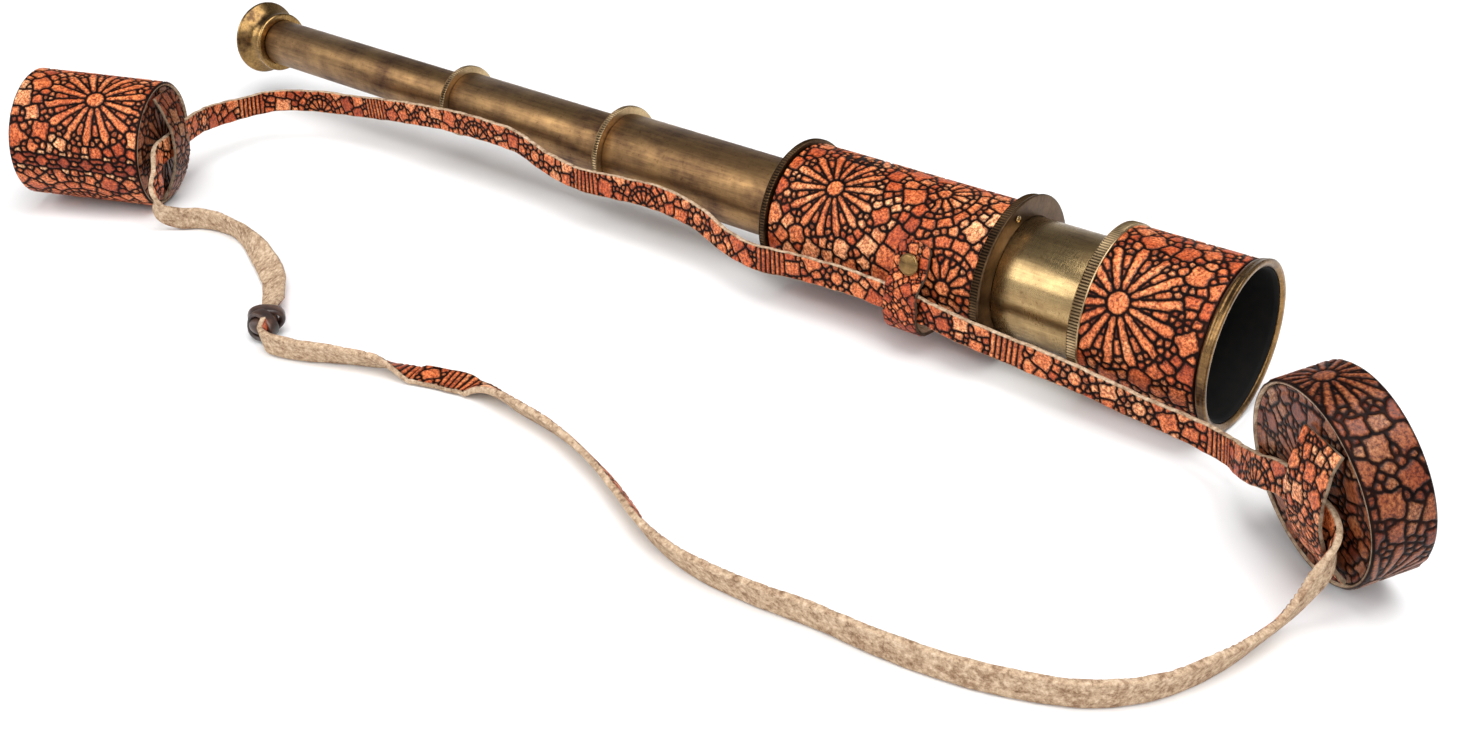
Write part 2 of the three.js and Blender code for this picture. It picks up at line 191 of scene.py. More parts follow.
# ---------- embossed pattern ----------
class Mosaic:
    """Tiles stamped in a leather sheet, in millimetres: u runs across `wide`, v across `tall`."""

    STEP = 0.25
    FAR = 9.0

    def __init__(self, wide, tall, seed, wraps=False, scale=1.0):
        self.columns = int(round(wide / self.STEP))
        self.rows = int(round(tall / self.STEP)) + 1
        self.wide = wide
        self.tall = tall
        self.wraps = wraps
        self.scale = scale
        self.random = random.Random(seed)
        self.near = np.full((self.rows, self.columns), self.FAR)
        self.next = np.full((self.rows, self.columns), self.FAR)
        self.tint = np.full((self.rows, self.columns), 0.3)
        self.centres = []

    def patch(self, u, v, reach):
        step = self.STEP
        i0 = max(0, int((v - reach) / step))
        i1 = min(self.rows, int((v + reach) / step) + 2)
        j = np.arange(int(math.floor((u - reach) / step)), int((u + reach) / step) + 2)
        if not self.wraps:
            j = j[(j >= 0) & (j < self.columns)]
        i = np.arange(i0, i1)
        return i, j

    def distance(self, i, j, u, v, turn, a, b, corner):
        du = (j * self.STEP - u)[None, :]
        dv = (i * self.STEP - v)[:, None]
        x = np.abs(du * math.cos(turn) + dv * math.sin(turn)) - (a - corner)
        y = np.abs(dv * math.cos(turn) - du * math.sin(turn)) - (b - corner)
        outside = np.hypot(np.maximum(x, 0), np.maximum(y, 0))
        return outside + np.minimum(np.maximum(x, y), 0) - corner

    def stamp(self, u, v, turn, a, b, corner=0.3, tint=None, gap=None):
        """Adds one tile of half sizes a and b, if there is room for it when gap is given."""
        i, j = self.patch(u, v, max(a, b) * 1.42 + 1.4)
        if len(i) == 0 or len(j) == 0:
            return False
        d = self.distance(i, j, u, v, turn, a, b, corner)
        where = np.ix_(i, j % self.columns)
        near = self.near[where]
        if gap is not None and np.any((d < 0) & (near < gap)):
            return False
        following = self.next[where]
        closer = d < near
        self.next[where] = np.where(closer, near, np.minimum(following, d))
        self.near[where] = np.where(closer, d, near)
        value = self.random.random() if tint is None else tint
        self.tint[where] = np.where(closer, value, self.tint[where])
        return True

    def star(self, u, v, rays=14, size=1.0, phase=0.0):
        """A disc with long rays, wedges, dots and kites between them."""
        self.centres.append((u, v))
        self.stamp(u, v, 0, 2.6 * size, 2.6 * size, 2.6 * size, 0.8)
        for k in range(rays):
            turn = (k + phase) / rays * 2 * math.pi
            between = turn + math.pi / rays
            for angle, r, a, b, corner, tint in (
                (turn, 9.9, 6.3, 0.85, 0.4, 0.66), (between, 11.4, 2.0, 0.5, 0.4, 0.5),
                (between, 7.4, 1.2, 0.16, 0.12, 0.35), (between, 14.6, 0.75, 0.5, 0.5, 0.8),
                (between + 0.07, 16.4, 0.6, 0.6, 0.6, 0.7),
            ):
                self.stamp(u + r * size * math.cos(angle), v + r * size * math.sin(angle), angle, a * size,
                           b * size, corner * size, tint)
        kites = rays // 2
        for k in range(kites):
            angle = (k + 0.5 + phase / 2) / kites * 2 * math.pi
            r = 20.5 * size
            self.stamp(u + r * math.cos(angle), v + r * math.sin(angle), angle + math.pi / 4, 2.5 * size,
                       2.5 * size, 0.3, None, 0.2)

    def fan(self, u, v, aim, size=1.0):
        """Half a sun: nested arcs of blocks round a small disc, opening towards aim."""
        self.centres.append((u, v))
        self.stamp(u, v, 0, 2 * size, 2 * size, 2 * size, 0.65)
        for ring, (r, count, a, b) in enumerate(((6.5, 7, 2.8, 0.75), (11.2, 11, 0.55, 1.35), (14.2, 8, 1.5, 2.4))):
            for k in range(count):
                angle = aim + ((k + 0.5) / count - 0.5) * math.pi * 1.05
                self.stamp(u + r * size * math.cos(angle), v + r * size * math.sin(angle), angle, a * size,
                           b * size, 0.3, 0.6 - 0.1 * ring)

    def seam(self, u, size=1.0):
        """A lapped seam along v: a row of diamonds between two rows of small lozenges."""
        pitch = 8.4 * size
        for k in range(int(self.tall / pitch) + 2):
            v = (k + 0.3) * pitch
            self.stamp(u, v, math.pi / 4, 1.7 * size, 1.7 * size, 0.3, -0.3)
            for away in (-3.3, 3.3):
                self.stamp(u + away * size, v, 0, 0.5 * size, 1.2 * size, 0.5, 1.7)
                self.stamp(u + away * 0.55 * size, v + pitch / 2, 0, 0.35 * size, 2.2 * size, 0.3, -0.3)

    def rings(self, u, v, size=1.0):
        """Concentric circles, as on the strap: a disc in a ring of blocks."""
        self.stamp(u, v, 0, 1.9 * size, 1.9 * size, 1.9 * size, 0.8)
        for k in range(9):
            angle = k / 9 * 2 * math.pi
            self.stamp(u + 3.5 * size * math.cos(angle), v + 3.5 * size * math.sin(angle), angle, 0.6 * size,
                       1.15 * size, 0.3, 0.7)

    def lie(self, u, v):
        """The direction that tiles follow at a place: round the nearest star, else a slow swirl."""
        found = None
        for cu, cv in self.centres:
            du = u - cu
            if self.wraps:
                du = (du + self.wide / 2) % self.wide - self.wide / 2
            r = math.hypot(du, v - cv)
            if r < 30 and (found is None or r < found[0]):
                found = (r, math.atan2(v - cv, du))
        if found:
            return found[1]
        return 0.7 * math.sin(u / 17) + 0.6 * math.cos(v / 13 + 1)

    def fill(self):
        """Packs tiles of falling size into what is left."""
        area = self.wide * self.tall / self.scale ** 2
        for low, high, tries, gap, squat in (
            (2.5, 3.1, 0.2, 0.55, 0.75), (1.6, 2.2, 0.4, 0.45, 0.7), (1.9, 2.4, 0.3, 0.42, 0.42),
            (0.95, 1.25, 1.3, 0.4, 0.8), (0.55, 0.7, 2.2, 0.35, 0.9),
        ):
            for _ in range(int(area * tries)):
                u = self.random.random() * self.wide
                v = self.random.random() * self.tall
                a = self.random.uniform(low, high) * self.scale
                b = a * self.random.uniform(squat, 1)
                turn = self.lie(u, v) + self.random.gauss(0, 0.14)
                self.stamp(u, v, turn, a, b, 0.25 * self.scale, None, gap * self.scale)
        return self

    def sample(self, u, v):
        """Relief from 0 in a groove to 1 on a tile, and the tile's tint, at arrays of places."""
        x = np.asarray(u) / self.STEP
        y = np.clip(np.asarray(v) / self.STEP, 0, self.rows - 1.001)
        if self.wraps:
            x = x % self.columns
        else:
            x = np.clip(x, 0, self.columns - 1.001)
        j = np.floor(x).astype(int)
        i = np.floor(y).astype(int)
        fx, fy = x - j, y - i
        j1 = (j + 1) % self.columns
        edge = np.minimum(self.next - self.near, 2.1 * self.scale - 2 * np.maximum(self.near, -9))
        depth = (edge[i, j] * (1 - fx) + edge[i, j1] * fx) * (1 - fy)
        depth = depth + (edge[i + 1, j] * (1 - fx) + edge[i + 1, j1] * fx) * fy
        t = np.clip((depth - 0.4 * self.scale) / (1.25 * self.scale), 0, 1)
        return t, self.tint[i, j]


def domed(lift):
    """A tile's height from how far in from its edge a place is: a quick rise to a flat top."""
    t = np.clip(lift * 1.9, 0, 1)
    return t * t * (3 - 2 * t)


# ---------- curves ----------
def smooth_route(points, step):
    """Points about `step` apart along a centripetal spline through the route."""
    p = np.asarray(points, float)
    p = np.concatenate(([2 * p[0] - p[1]], p, [2 * p[-1] - p[-2]]))
    made = []
    for i in range(1, len(p) - 2):
        p0, p1, p2, p3 = p[i - 1:i + 3]
        t1 = np.linalg.norm(p1 - p0) ** 0.5
        t2 = t1 + np.linalg.norm(p2 - p1) ** 0.5
        t3 = t2 + np.linalg.norm(p3 - p2) ** 0.5
        for t in np.linspace(t1, t2, 40, endpoint=False):
            a1 = (t1 - t) / t1 * p0 + t / t1 * p1
            a2 = (t2 - t) / (t2 - t1) * p1 + (t - t1) / (t2 - t1) * p2
            a3 = (t3 - t) / (t3 - t2) * p2 + (t - t2) / (t3 - t2) * p3
            b1 = (t2 - t) / t2 * a1 + t / t2 * a2
            b2 = (t3 - t) / (t3 - t1) * a2 + (t - t1) / (t3 - t1) * a3
            made.append((t2 - t) / (t2 - t1) * b1 + (t - t1) / (t2 - t1) * b2)
    made.append(p[-2])
    made = np.array(made)
    along = np.concatenate(([0], np.cumsum(np.linalg.norm(np.diff(made, axis=0), axis=1))))
    stations = np.linspace(0, along[-1], int(along[-1] / step) + 1)
    return np.stack([np.interp(stations, along, made[:, k]) for k in range(3)], -1), stations


def unit(v):
    return v / np.maximum(np.linalg.norm(v, axis=-1, keepdims=True), 1e-12)


def strap_mesh(name, line, width_way, width, thickness, mosaic=None, relief=0.3 * MM, grain_out=True, step=0.4 * MM,
               seed=5, fray=0.25 * MM, taper=None, edge_raw=1.0):
    """A leather strap swept along a line. width_way is the direction of its width at each point; the
    grain face looks along tangent x width, or the other way."""
    tangent = unit(np.gradient(line, axis=0))
    way = unit(width_way - (width_way * tangent).sum(-1, keepdims=True) * tangent)
    face = unit(np.cross(tangent, way))
    if not grain_out:
        face = -face
    half = width / 2
    thin = thickness / 2
    across = int(width / step)
    bevel = 0.3 * MM
    top = [(w, thin, 0) for w in np.linspace(-half + bevel, half - bevel, across)]
    edge = [(half, thin - bevel, edge_raw), (half, -thin + bevel, edge_raw)]
    under = [(w, -thin, 1) for w in np.linspace(half - bevel, -half + bevel, 10)]
    back = [(-half, -thin + bevel, edge_raw), (-half, thin - bevel, edge_raw)]
    section = np.array(top + edge + under + back)
    along = np.concatenate(([0], np.cumsum(np.linalg.norm(np.diff(line, axis=0), axis=1))))
    rows, columns = len(line), len(section)
    w = np.broadcast_to(section[:, 0], (rows, columns)).copy()
    h = np.broadcast_to(section[:, 1], (rows, columns)).copy()
    raw = np.broadcast_to(section[:, 2], (rows, columns)).copy()
    wobble = np.random.default_rng(seed)
    phases = wobble.uniform(0, 2 * math.pi, 6)
    swing = sum(np.sin(along / (k * MM) + q) for k, q in zip((4.1, 7.7, 12.9, 2.3, 19, 1.3), phases))
    w *= 1 + (swing * fray / 4 / half)[:, None]
    if taper is not None:
        w *= taper[:, None]
    u = np.broadcast_to(along[:, None], (rows, columns)) / MM
    lift = np.ones((rows, columns))
    tint = np.full((rows, columns), 0.5)
    if mosaic:
        lift, tint = mosaic.sample(u, (w + half) / MM)
        grain = np.zeros(columns)
        grain[:across] = 1
        lift = np.where(grain > 0, lift, 0.0)
        h = np.where(grain > 0, h - relief * (1 - domed(lift)), h)
    points = line[:, None, :] + way[:, None, :] * w[..., None] + face[:, None, :] * h[..., None]
    faces = grid_faces(rows, columns, wrap_columns=True)
    ends = [list(range(columns))[::-1], [(rows - 1) * columns + k for k in range(columns)]]
    every = faces.tolist() + ends
    return add_object(name, points.reshape(-1, 3), every, {"relief": lift, "tint": tint, "raw": raw})


# ---------- strap: first among the pieces, because its room is checked ----------
STRAP_WIDTH = 8.5 * MM
STRAP_THICKNESS = 2 * MM
FAR_ROUTE = [
    (0.0465, -0.0654, 0.0253), (0.0361, -0.058, 0.0248), (0.028, -0.0522, 0.0212), (0.02, -0.043, 0.0162),
    (0.0115, -0.033, 0.012), (0, -0.0284, 0.011), (-0.018, -0.0282, 0.0125), (-0.038, -0.0282, 0.0148),
    (-0.06, -0.0282, 0.0162), (-0.079, -0.0276, 0.0172), (-0.09, -0.0263, 0.0178), (-0.0995, -0.0256, 0.0184),
    (-0.109, -0.0257, 0.019), (-0.12, -0.026, 0.0196), (-0.141, -0.0268, 0.019), (-0.158, -0.027, 0.0176),
    (-0.172, -0.025, 0.0186), (-0.186, -0.022, 0.0216), (-0.205, -0.0205, 0.0232), (-0.225, -0.0205, 0.022),
    (-0.243, -0.0205, 0.0206), (-0.26, -0.02, 0.0225), (-0.275, -0.0195, 0.0264), (-0.29, -0.0192, 0.0268),
    (-0.313, -0.019, 0.0258), (-0.342, -0.019, 0.0226), (-0.368, -0.0195, 0.019), (-0.388, -0.023, 0.0174),
    (-0.401, -0.033, 0.0174), (-0.403, -0.048, 0.018), (-0.4005, -0.062, 0.0196), (-0.3935, -0.074, 0.022),
    (-0.3862, -0.0848, 0.0232), (-0.3796, -0.0954, 0.0232),
]
NEAR_ROUTE = [
    (0.0471, -0.0656, 0.0253), (0.0523, -0.0693, 0.0249), (0.0554, -0.0716, 0.0228), (0.0562, -0.0748, 0.0175),
    (0.0544, -0.0795, 0.011), (0.052, -0.087, 0.006), (0.05, -0.097, 0.0046), (0.047, -0.11, 0.0046),
    (0.04, -0.127, 0.0046), (0.0285, -0.1395, 0.0046), (0.012, -0.1475, 0.0046), (-0.002, -0.1515, 0.0046),
    (-0.019, -0.154, 0.0046), (-0.037, -0.155, 0.0046), (-0.056, -0.1575, 0.0046), (-0.076, -0.1575, 0.0046),
    (-0.093, -0.153, 0.0046), (-0.107, -0.146, 0.0046), (-0.123, -0.1388, 0.0046), (-0.146, -0.1316, 0.0046),
    (-0.169, -0.1286, 0.0046), (-0.184, -0.1265, 0.0046), (-0.198, -0.1295, 0.0046), (-0.215, -0.1355, 0.0046),
    (-0.231, -0.1425, 0.0046), (-0.243, -0.1484, 0.0046), (-0.2544, -0.151, 0.005), (-0.26, -0.146, 0.0053),
]
TAIL_ROUTE = [
    (-0.379, -0.0962, 0.0232), (-0.3726, -0.1068, 0.0226), (-0.3664, -0.1118, 0.018), (-0.3634, -0.1154, 0.012),
    (-0.361, -0.1152, 0.007), (-0.3565, -0.1114, 0.0048), (-0.3514, -0.1066, 0.0046), (-0.342, -0.104, 0.0046),
    (-0.33, -0.105, 0.0046), (-0.316, -0.109, 0.0046), (-0.303, -0.1138, 0.0046), (-0.297, -0.1167, 0.0046), (-0.291, -0.12, 0.0046),
    (-0.2795, -0.129, 0.0046), (-0.272, -0.1353, 0.005), (-0.2664, -0.1403, 0.0053),
]


def lay_strap(name, route, leans, grain_out, mosaic, seed):
    """One run of the strap. leans are (share of the length, degrees from upright) pairs."""
    line, stations = smooth_route(np.array(route) + np.array(RIM), 0.4 * MM)
    share = stations / stations[-1]
    lean = np.radians(np.interp(share, [s for s, _ in leans], [d for _, d in leans]))
    drop = STRAP_WIDTH / 2 * (1 - np.abs(np.cos(lean))) - STRAP_THICKNESS / 2 * np.abs(np.sin(lean))
    on_table = np.clip((0.008 - line[:, 2]) / 0.002, 0, 1) * np.clip((share[-1] - share) / 0.04, 0, 1)
    line[:, 2] -= np.maximum(drop, 0) * on_table
    tangent = unit(np.gradient(line, axis=0))
    up = np.array([0, 0, 1.0]) - tangent[:, 2:3] * tangent
    up = unit(up)
    side = np.cross(tangent, up)
    way = up * np.cos(lean)[:, None] + side * np.sin(lean)[:, None]
    kernel = np.hanning(31)
    kernel /= kernel.sum()
    padded = np.concatenate([np.repeat(way[:1], 15, 0), way, np.repeat(way[-1:], 15, 0)])
    way = unit(np.stack([np.convolve(padded[:, k], kernel, "valid") for k in range(3)], -1))
    piece = strap_mesh(name, line, way, STRAP_WIDTH, STRAP_THICKNESS, mosaic, grain_out=grain_out, seed=seed)
    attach(piece, "barrel")
    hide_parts(name.replace("_leather", ""))
    return piece


# ---------- materials ----------
class Nodes:
    """A short way to write a material's nodes."""

    def __init__(self, name):
        self.material = bpy.data.materials.new(name)
        self.material.use_nodes = True
        self.tree = self.material.node_tree
        self.shader = self.tree.nodes["Principled BSDF"]

    def add(self, kind, inputs=None, **settings):
        node = self.tree.nodes.new(kind)
        for key, value in settings.items():
            setattr(node, key, value)
        for key, value in (inputs or {}).items():
            self.feed(node.inputs[key], value)
        return node

    def feed(self, socket, value):
        if isinstance(value, bpy.types.NodeSocket):
            self.tree.links.new(value, socket)
        else:
            socket.default_value = value

    def set(self, **inputs):
        for key, value in inputs.items():
            self.feed(self.shader.inputs[key.replace("_", " ")], value)

    def place(self, stretch=(1, 1, 1)):
        where = self.add("ShaderNodeTexCoord").outputs["Object"]
        return self.add("ShaderNodeMapping", {"Vector": where, "Scale": stretch}).outputs["Vector"]

    def noise(self, scale, detail=4, roughness=0.6, stretch=(1, 1, 1)):
        node = self.add("ShaderNodeTexNoise", {"Vector": self.place(stretch), "Scale": scale, "Detail": detail,
                                               "Roughness": roughness})
        return node.outputs["Fac"]

    def ramp(self, factor, *stops):
        node = self.add("ShaderNodeValToRGB", {"Fac": factor})
        band = node.color_ramp
        while len(band.elements) < len(stops):
            band.elements.new(0.5)
        for element, (at, colour) in zip(band.elements, stops):
            element.position = at
            element.color = (*colour, 1) if len(colour) == 3 else colour
        return node.outputs["Color"]

    def level(self, factor, low, high, from_low=0.0, from_high=1.0):
        node = self.add("ShaderNodeMapRange", {"Value": factor, "From Min": from_low, "From Max": from_high,
                                               "To Min": low, "To Max": high})
        return node.outputs["Result"]

    def mix(self, factor, a, b, mode="MIX"):
        node = self.add("ShaderNodeMix", data_type="RGBA", blend_type=mode)
        self.feed(node.inputs["Factor"], factor)
        self.feed(node.inputs[6], a if isinstance(a, bpy.types.NodeSocket) else (*a, 1))
        self.feed(node.inputs[7], b if isinstance(b, bpy.types.NodeSocket) else (*b, 1))
        return node.outputs[2]

    def maths(self, operation, a, b=0.0):
        node = self.add("ShaderNodeMath", operation=operation)
        self.feed(node.inputs[0], a)
        self.feed(node.inputs[1], b)
        return node.outputs[0]

    def attribute(self, name):
        return self.add("ShaderNodeAttribute", attribute_name=name).outputs["Fac"]

    def bump(self, height, strength, distance, normal=None):
        inputs = {"Height": height, "Strength": strength, "Distance": distance}
        if normal:
            inputs["Normal"] = normal
        return self.add("ShaderNodeBump", inputs).outputs["Normal"]


def brass_material(name, bright, dark, tarnish, roughness, scratches=0.25):
    """Turned brass: patina in soft patches, fine turning lines round the axis, darker pits, and painted shade that
    darkens the knurl's grooves almost to black.
    """
    m = Nodes(name)
    patches = m.noise(70, 5, 0.62)
    streaks = m.noise(60, 3, 0.7, (1, 14, 14))
    worn = m.maths("ADD", m.maths("MULTIPLY", patches, 0.65), m.maths("MULTIPLY", streaks, 0.35))
    colour = m.ramp(worn, (0.5 - tarnish, bright), (0.5, [(p + q) / 2 for p, q in zip(bright, dark)]),
                    (0.5 + tarnish, dark))
    pits = m.ramp(m.noise(900, 2, 0.5), (0.62, (1, 1, 1)), (0.74, (0.45, 0.36, 0.3)))
    colour = m.mix(0.6, colour, pits, "MULTIPLY")
    # Painted shade: the knurl's grooves are darkened almost to black, standing in for the shade that falls in them.
    colour = m.mix(m.maths("MULTIPLY", m.attribute("painted_knurl_shade"), 0.93), colour, (0.012, 0.008, 0.005))
    lines = m.noise(420, 3, 0.75, (14, 0.6, 0.6))
    m.set(Base_Color=colour, Metallic=1.0,
          Roughness=m.level(m.maths("ADD", m.maths("MULTIPLY", patches, 0.6), m.maths("MULTIPLY", lines, 0.4)),
                            roughness[0], roughness[1], 0.3, 0.7))
    m.set(Normal=m.bump(lines, scratches, 0.00004))
    return m.material


def black_material():
    """The dull black paint inside the sunshade."""
    m = Nodes("black_paint")
    dust = m.noise(300, 4, 0.6)
    m.set(Base_Color=m.ramp(dust, (0.35, (0.002, 0.002, 0.002)), (0.75, (0.008, 0.007, 0.006))),
          Roughness=m.level(dust, 0.7, 0.95), Normal=m.bump(dust, 0.15, 0.0001))
    m.set(Specular_IOR_Level=0.2)
    return m.material


def leather_material(name, shade=1.0, gloss=0.42):
    """Embossed veg-tan leather: tan tiles burnt at their edges over dark grooves, a coarse grain,
    and suede where raw."""
    m = Nodes(name)
    relief = m.attribute("relief")
    tint = m.attribute("tint")
    raw = m.attribute("raw")
    broad = m.noise(52, 5, 0.66)
    speckle = m.noise(1150, 3, 0.7)
    tone = m.maths("ADD", m.maths("MULTIPLY", tint, 0.36), m.maths("MULTIPLY", broad, 0.84))
    tops = m.ramp(tone, (0.22, (0.24 * shade, 0.026 * shade, 0.008 * shade)),
                  (0.46, (0.52 * shade, 0.085 * shade, 0.019 * shade)),
                  (0.68, (0.76 * shade, 0.21 * shade, 0.064 * shade)),
                  (0.9, (0.95 * shade, 0.47 * shade, 0.22 * shade)))
    pits = m.ramp(speckle, (0.38, (0.22, 0.10, 0.07)), (0.5, (0.8, 0.72, 0.68)), (0.66, (1.45, 1.8, 2.1)))
    tops = m.mix(0.9, tops, pits, "MULTIPLY")
    groove = m.ramp(m.noise(240, 3, 0.6), (0.35, (0.003, 0.001, 0.001)), (0.85, (0.022, 0.006, 0.003)))
    edge = m.maths("ADD", relief, m.maths("MULTIPLY", m.maths("SUBTRACT", speckle, 0.5), 0.5))
    burnt = m.ramp(edge, (0.15, (0, 0, 0)), (0.36, (0.34, 0.34, 0.34)), (1.0, (1, 1, 1)))
    grain = m.mix(burnt, groove, tops)
    fibres = m.noise(700, 5, 0.72)
    suede = m.ramp(fibres, (0.3, (0.19, 0.11, 0.065)), (0.5, (0.47, 0.335, 0.22)), (0.72, (0.72, 0.57, 0.42)))
    blotch = m.ramp(m.noise(210, 4, 0.75), (0.36, (0.42, 0.31, 0.25)), (0.5, (1, 1, 1)))
    suede = m.mix(0.7, suede, blotch, "MULTIPLY")
    m.set(Base_Color=m.mix(raw, grain, suede))
    rough = m.maths("ADD", m.level(speckle, gloss - 0.06, gloss + 0.16), m.maths("MULTIPLY", raw, 0.45))
    m.set(Roughness=m.maths("MINIMUM", rough, 1.0))
    m.set(Specular_IOR_Level=m.level(relief, 0.05, 0.3))
    height = m.maths("ADD", m.maths("MULTIPLY", speckle, 0.8), m.maths("MULTIPLY", fibres, raw))
    m.set(Normal=m.bump(height, 0.6, 0.00022))
    return m.material


def knot_material():
    """Burnished dark leather of the slit knot."""
    m = Nodes("knot_leather")
    fine = m.noise(600, 4, 0.6)
    wide = m.noise(160, 3, 0.6)
    m.set(Base_Color=m.ramp(wide, (0.35, (0.010, 0.006, 0.004)), (0.55, (0.038, 0.016, 0.010)),
                            (0.75, (0.14, 0.065, 0.038))),
          Roughness=m.level(fine, 0.3, 0.6), Normal=m.bump(fine, 0.4, 0.0002))
    m.set(Coat_Weight=0.2, Coat_Roughness=0.3)
    return m.material


def glass_material():
    """Clear lens glass with a faint film of dust."""
    m = Nodes("lens_glass")
    film = m.noise(260, 4, 0.65)
    m.set(Base_Color=m.ramp(film, (0.3, (0.80, 0.86, 0.84)), (0.8, (0.92, 0.95, 0.94))),
          Roughness=m.level(film, 0.01, 0.12, 0.45, 0.9))
    m.set(Transmission_Weight=1.0, IOR=1.52)
    return m.material


BRASS = brass_material("polished_brass", (0.66, 0.47, 0.22), (0.17, 0.10, 0.045), 0.2, (0.18, 0.38))
RING_BRASS = brass_material("ring_brass", (0.62, 0.46, 0.25), (0.26, 0.165, 0.09), 0.18, (0.26, 0.42))
RIM_BRASS = brass_material("rim_brass", (0.46, 0.28, 0.10), (0.085, 0.048, 0.024), 0.14, (0.2, 0.38))
BRONZE = brass_material("rim_bronze", (0.34, 0.195, 0.075), (0.055, 0.03, 0.016), 0.13, (0.2, 0.38))
AGED = brass_material("aged_brass", (0.42, 0.25, 0.105), (0.09, 0.046, 0.028), 0.16, (0.3, 0.54), 0.35)
DARK = brass_material("dark_brass", (0.155, 0.088, 0.04), (0.042, 0.025, 0.015), 0.16, (0.32, 0.52))
BLACK = black_material()
LEATHER = leather_material("embossed_leather", 0.94)
DEEP = leather_material("deep_leather", 0.34, 0.34)
KNOT = knot_material()
GLASS = glass_material()


def dress(piece, material, body, slot, *nodes):
    piece.data.materials.clear()
    piece.data.materials.append(material)
    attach(piece, body)
    if nodes:
        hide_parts(*nodes)
    return piece


# ---------- strap ----------
def knot_piece():
    """The slit knot: two dark turns of strap round a folded core."""
    low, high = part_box("strap_knot")
    middle = (low + high) / 2
    half = (high - low) / 2
    heading = math.radians(-52)
    ahead = Vector((math.cos(heading), math.sin(heading), 0))
    across = Vector((-math.sin(heading), math.cos(heading), 0))
    up = Vector((0, 0, 1))
    points = []
    faces = []
    relief = []

    def band(centre_at, tilt, width, radii, thickness, lean):
        """A flat strap wound once round the cord, its ends tucked under."""
        rows, section = 72, 14
        start = len(points)
        axis = (ahead * math.cos(tilt) + across * math.sin(tilt)).normalized()
        side = up.cross(axis).normalized()
        for k in range(rows):
            a = k / rows * 2 * math.pi
            swell = 1 + 0.06 * math.sin(3 * a + lean)
            out = side * math.cos(a) * radii[0] * swell + up * math.sin(a) * radii[1] * swell
            out_way = (side * math.cos(a) / radii[0] + up * math.sin(a) / radii[1]).normalized()
            shift = math.sin(a + lean) * 1.2 * MM
            for j in range(section):
                b = j / section * 2 * math.pi
                w = math.copysign(abs(math.cos(b)) ** 0.5, math.cos(b)) * width / 2
                h = math.copysign(abs(math.sin(b)) ** 0.7, math.sin(b)) * thickness / 2
                points.append(middle + ahead * centre_at + out + axis * (w + shift) + out_way * h)
                relief.append(0.5)
        faces.extend((grid_faces(rows, section, True, True) + start).tolist())

    thick = 1.7 * MM
    top = half.z - thick / 2
    band(-2.4 * MM, 0.30, 5.2 * MM, (5.0 * MM, top * 0.94), thick, 0.4)
    band(2.6 * MM, -0.34, 4.6 * MM, (4.7 * MM, top * 0.88), thick, 2.1)
    rows, section = 30, 24
    start = len(points)
    for k in range(rows):
        t = (k + 0.5) / rows * 2 - 1
        swell = (1 - abs(t) ** 3.2) ** 0.5
        for j in range(section):
            b = j / section * 2 * math.pi
            fold = 1 + 0.09 * math.sin(2 * b + 3 * t)
            points.append(middle + ahead * t * 6.3 * MM + across * math.cos(b) * 4.0 * MM * swell * fold
                          + up * math.sin(b) * 3.5 * MM * swell * fold)
    faces.extend((grid_faces(rows, section, False, True) + start).tolist())
    faces.append([start + k for k in range(section)][::-1])
    faces.append([start + (rows - 1) * section + k for k in range(section)])
    return dress(add_object("strap_knot_tied", points, faces), KNOT, "barrel", "knot_leather", "strap_knot")


def strap_pattern(wide, seed, motifs):
    """The strap's own tiles, with rings, half suns and bars along it. wide runs along the strap."""
    middle = STRAP_WIDTH / MM / 2
    sheet = Mosaic(wide, STRAP_WIDTH / MM, seed, scale=0.95)
    for u, kind in motifs:
        if kind == "rings":
            sheet.rings(u, middle, 1.0)
        elif kind == "fan":
            sheet.fan(u, -0.6, math.pi / 2, 0.62)
        else:
            for k in range(6):
                sheet.stamp(u + (k - 2.5) * 1.9, middle, math.pi / 2, middle - 0.5, 0.62, 0.3, 0.3 + 0.1 * (k % 3))
    return sheet.fill()


knot_piece()
FAR_LEANS = [(0, 0), (0.04, 4), (0.14, -6), (0.3, 0), (0.5, 6), (0.65, -4), (0.8, 0), (0.9, 0), (1, 0)]
NEAR_LEANS = [(0, 0), (0.05, -5), (0.1, -30), (0.16, -18), (0.3, -10), (0.42, -16), (0.52, -26), (0.6, -35),
              (0.755, -36), (0.78, -62), (0.805, -100), (0.845, -98), (0.88, -40), (1, -8)]
TAIL_LEANS = [(0, 0), (0.12, 4), (0.3, 16), (0.45, 18), (0.55, -12), (0.68, -55), (0.9, -60), (1, -30)]
far_pattern = strap_pattern(546, 11, [(24, "fan"), (52, "bars"), (80, "rings"), (101, "rings"), (124, "bars"),
                                      (160, "fan"), (188, "rings"), (214, "bars"), (250, "rings"), (276, "fan"),
                                      (304, "bars"), (330, "rings"), (362, "fan"), (392, "rings"), (420, "bars"),
                                      (452, "fan"), (482, "bars"), (512, "rings")])
near_pattern = strap_pattern(400, 12, [(30, "bars"), (60, "rings"), (150, "fan"), (240, "rings"), (322, "bars"),
                                       (342, "bars")])
tail_pattern = strap_pattern(146, 13, [(40, "rings"), (100, "fan")])
for strap_name, route, leans, outward, sheet, end in (
    ("strap_far_run", FAR_ROUTE, FAR_LEANS, False, far_pattern, "object"),
    ("strap_near_run", NEAR_ROUTE, NEAR_LEANS, True, near_pattern, "knot"),
    ("strap_tail", TAIL_ROUTE, TAIL_LEANS, False, tail_pattern, "knot"),
):
    run = lay_strap(strap_name + "_leather", route, leans, outward, sheet, len(strap_name))
    run.data.materials.append(LEATHER)


# ---------- turned brass ----------
def ring_profile(rear, front, outer, inner):
    return [(rear, inner), (rear, outer), (front, outer), (front, inner)]


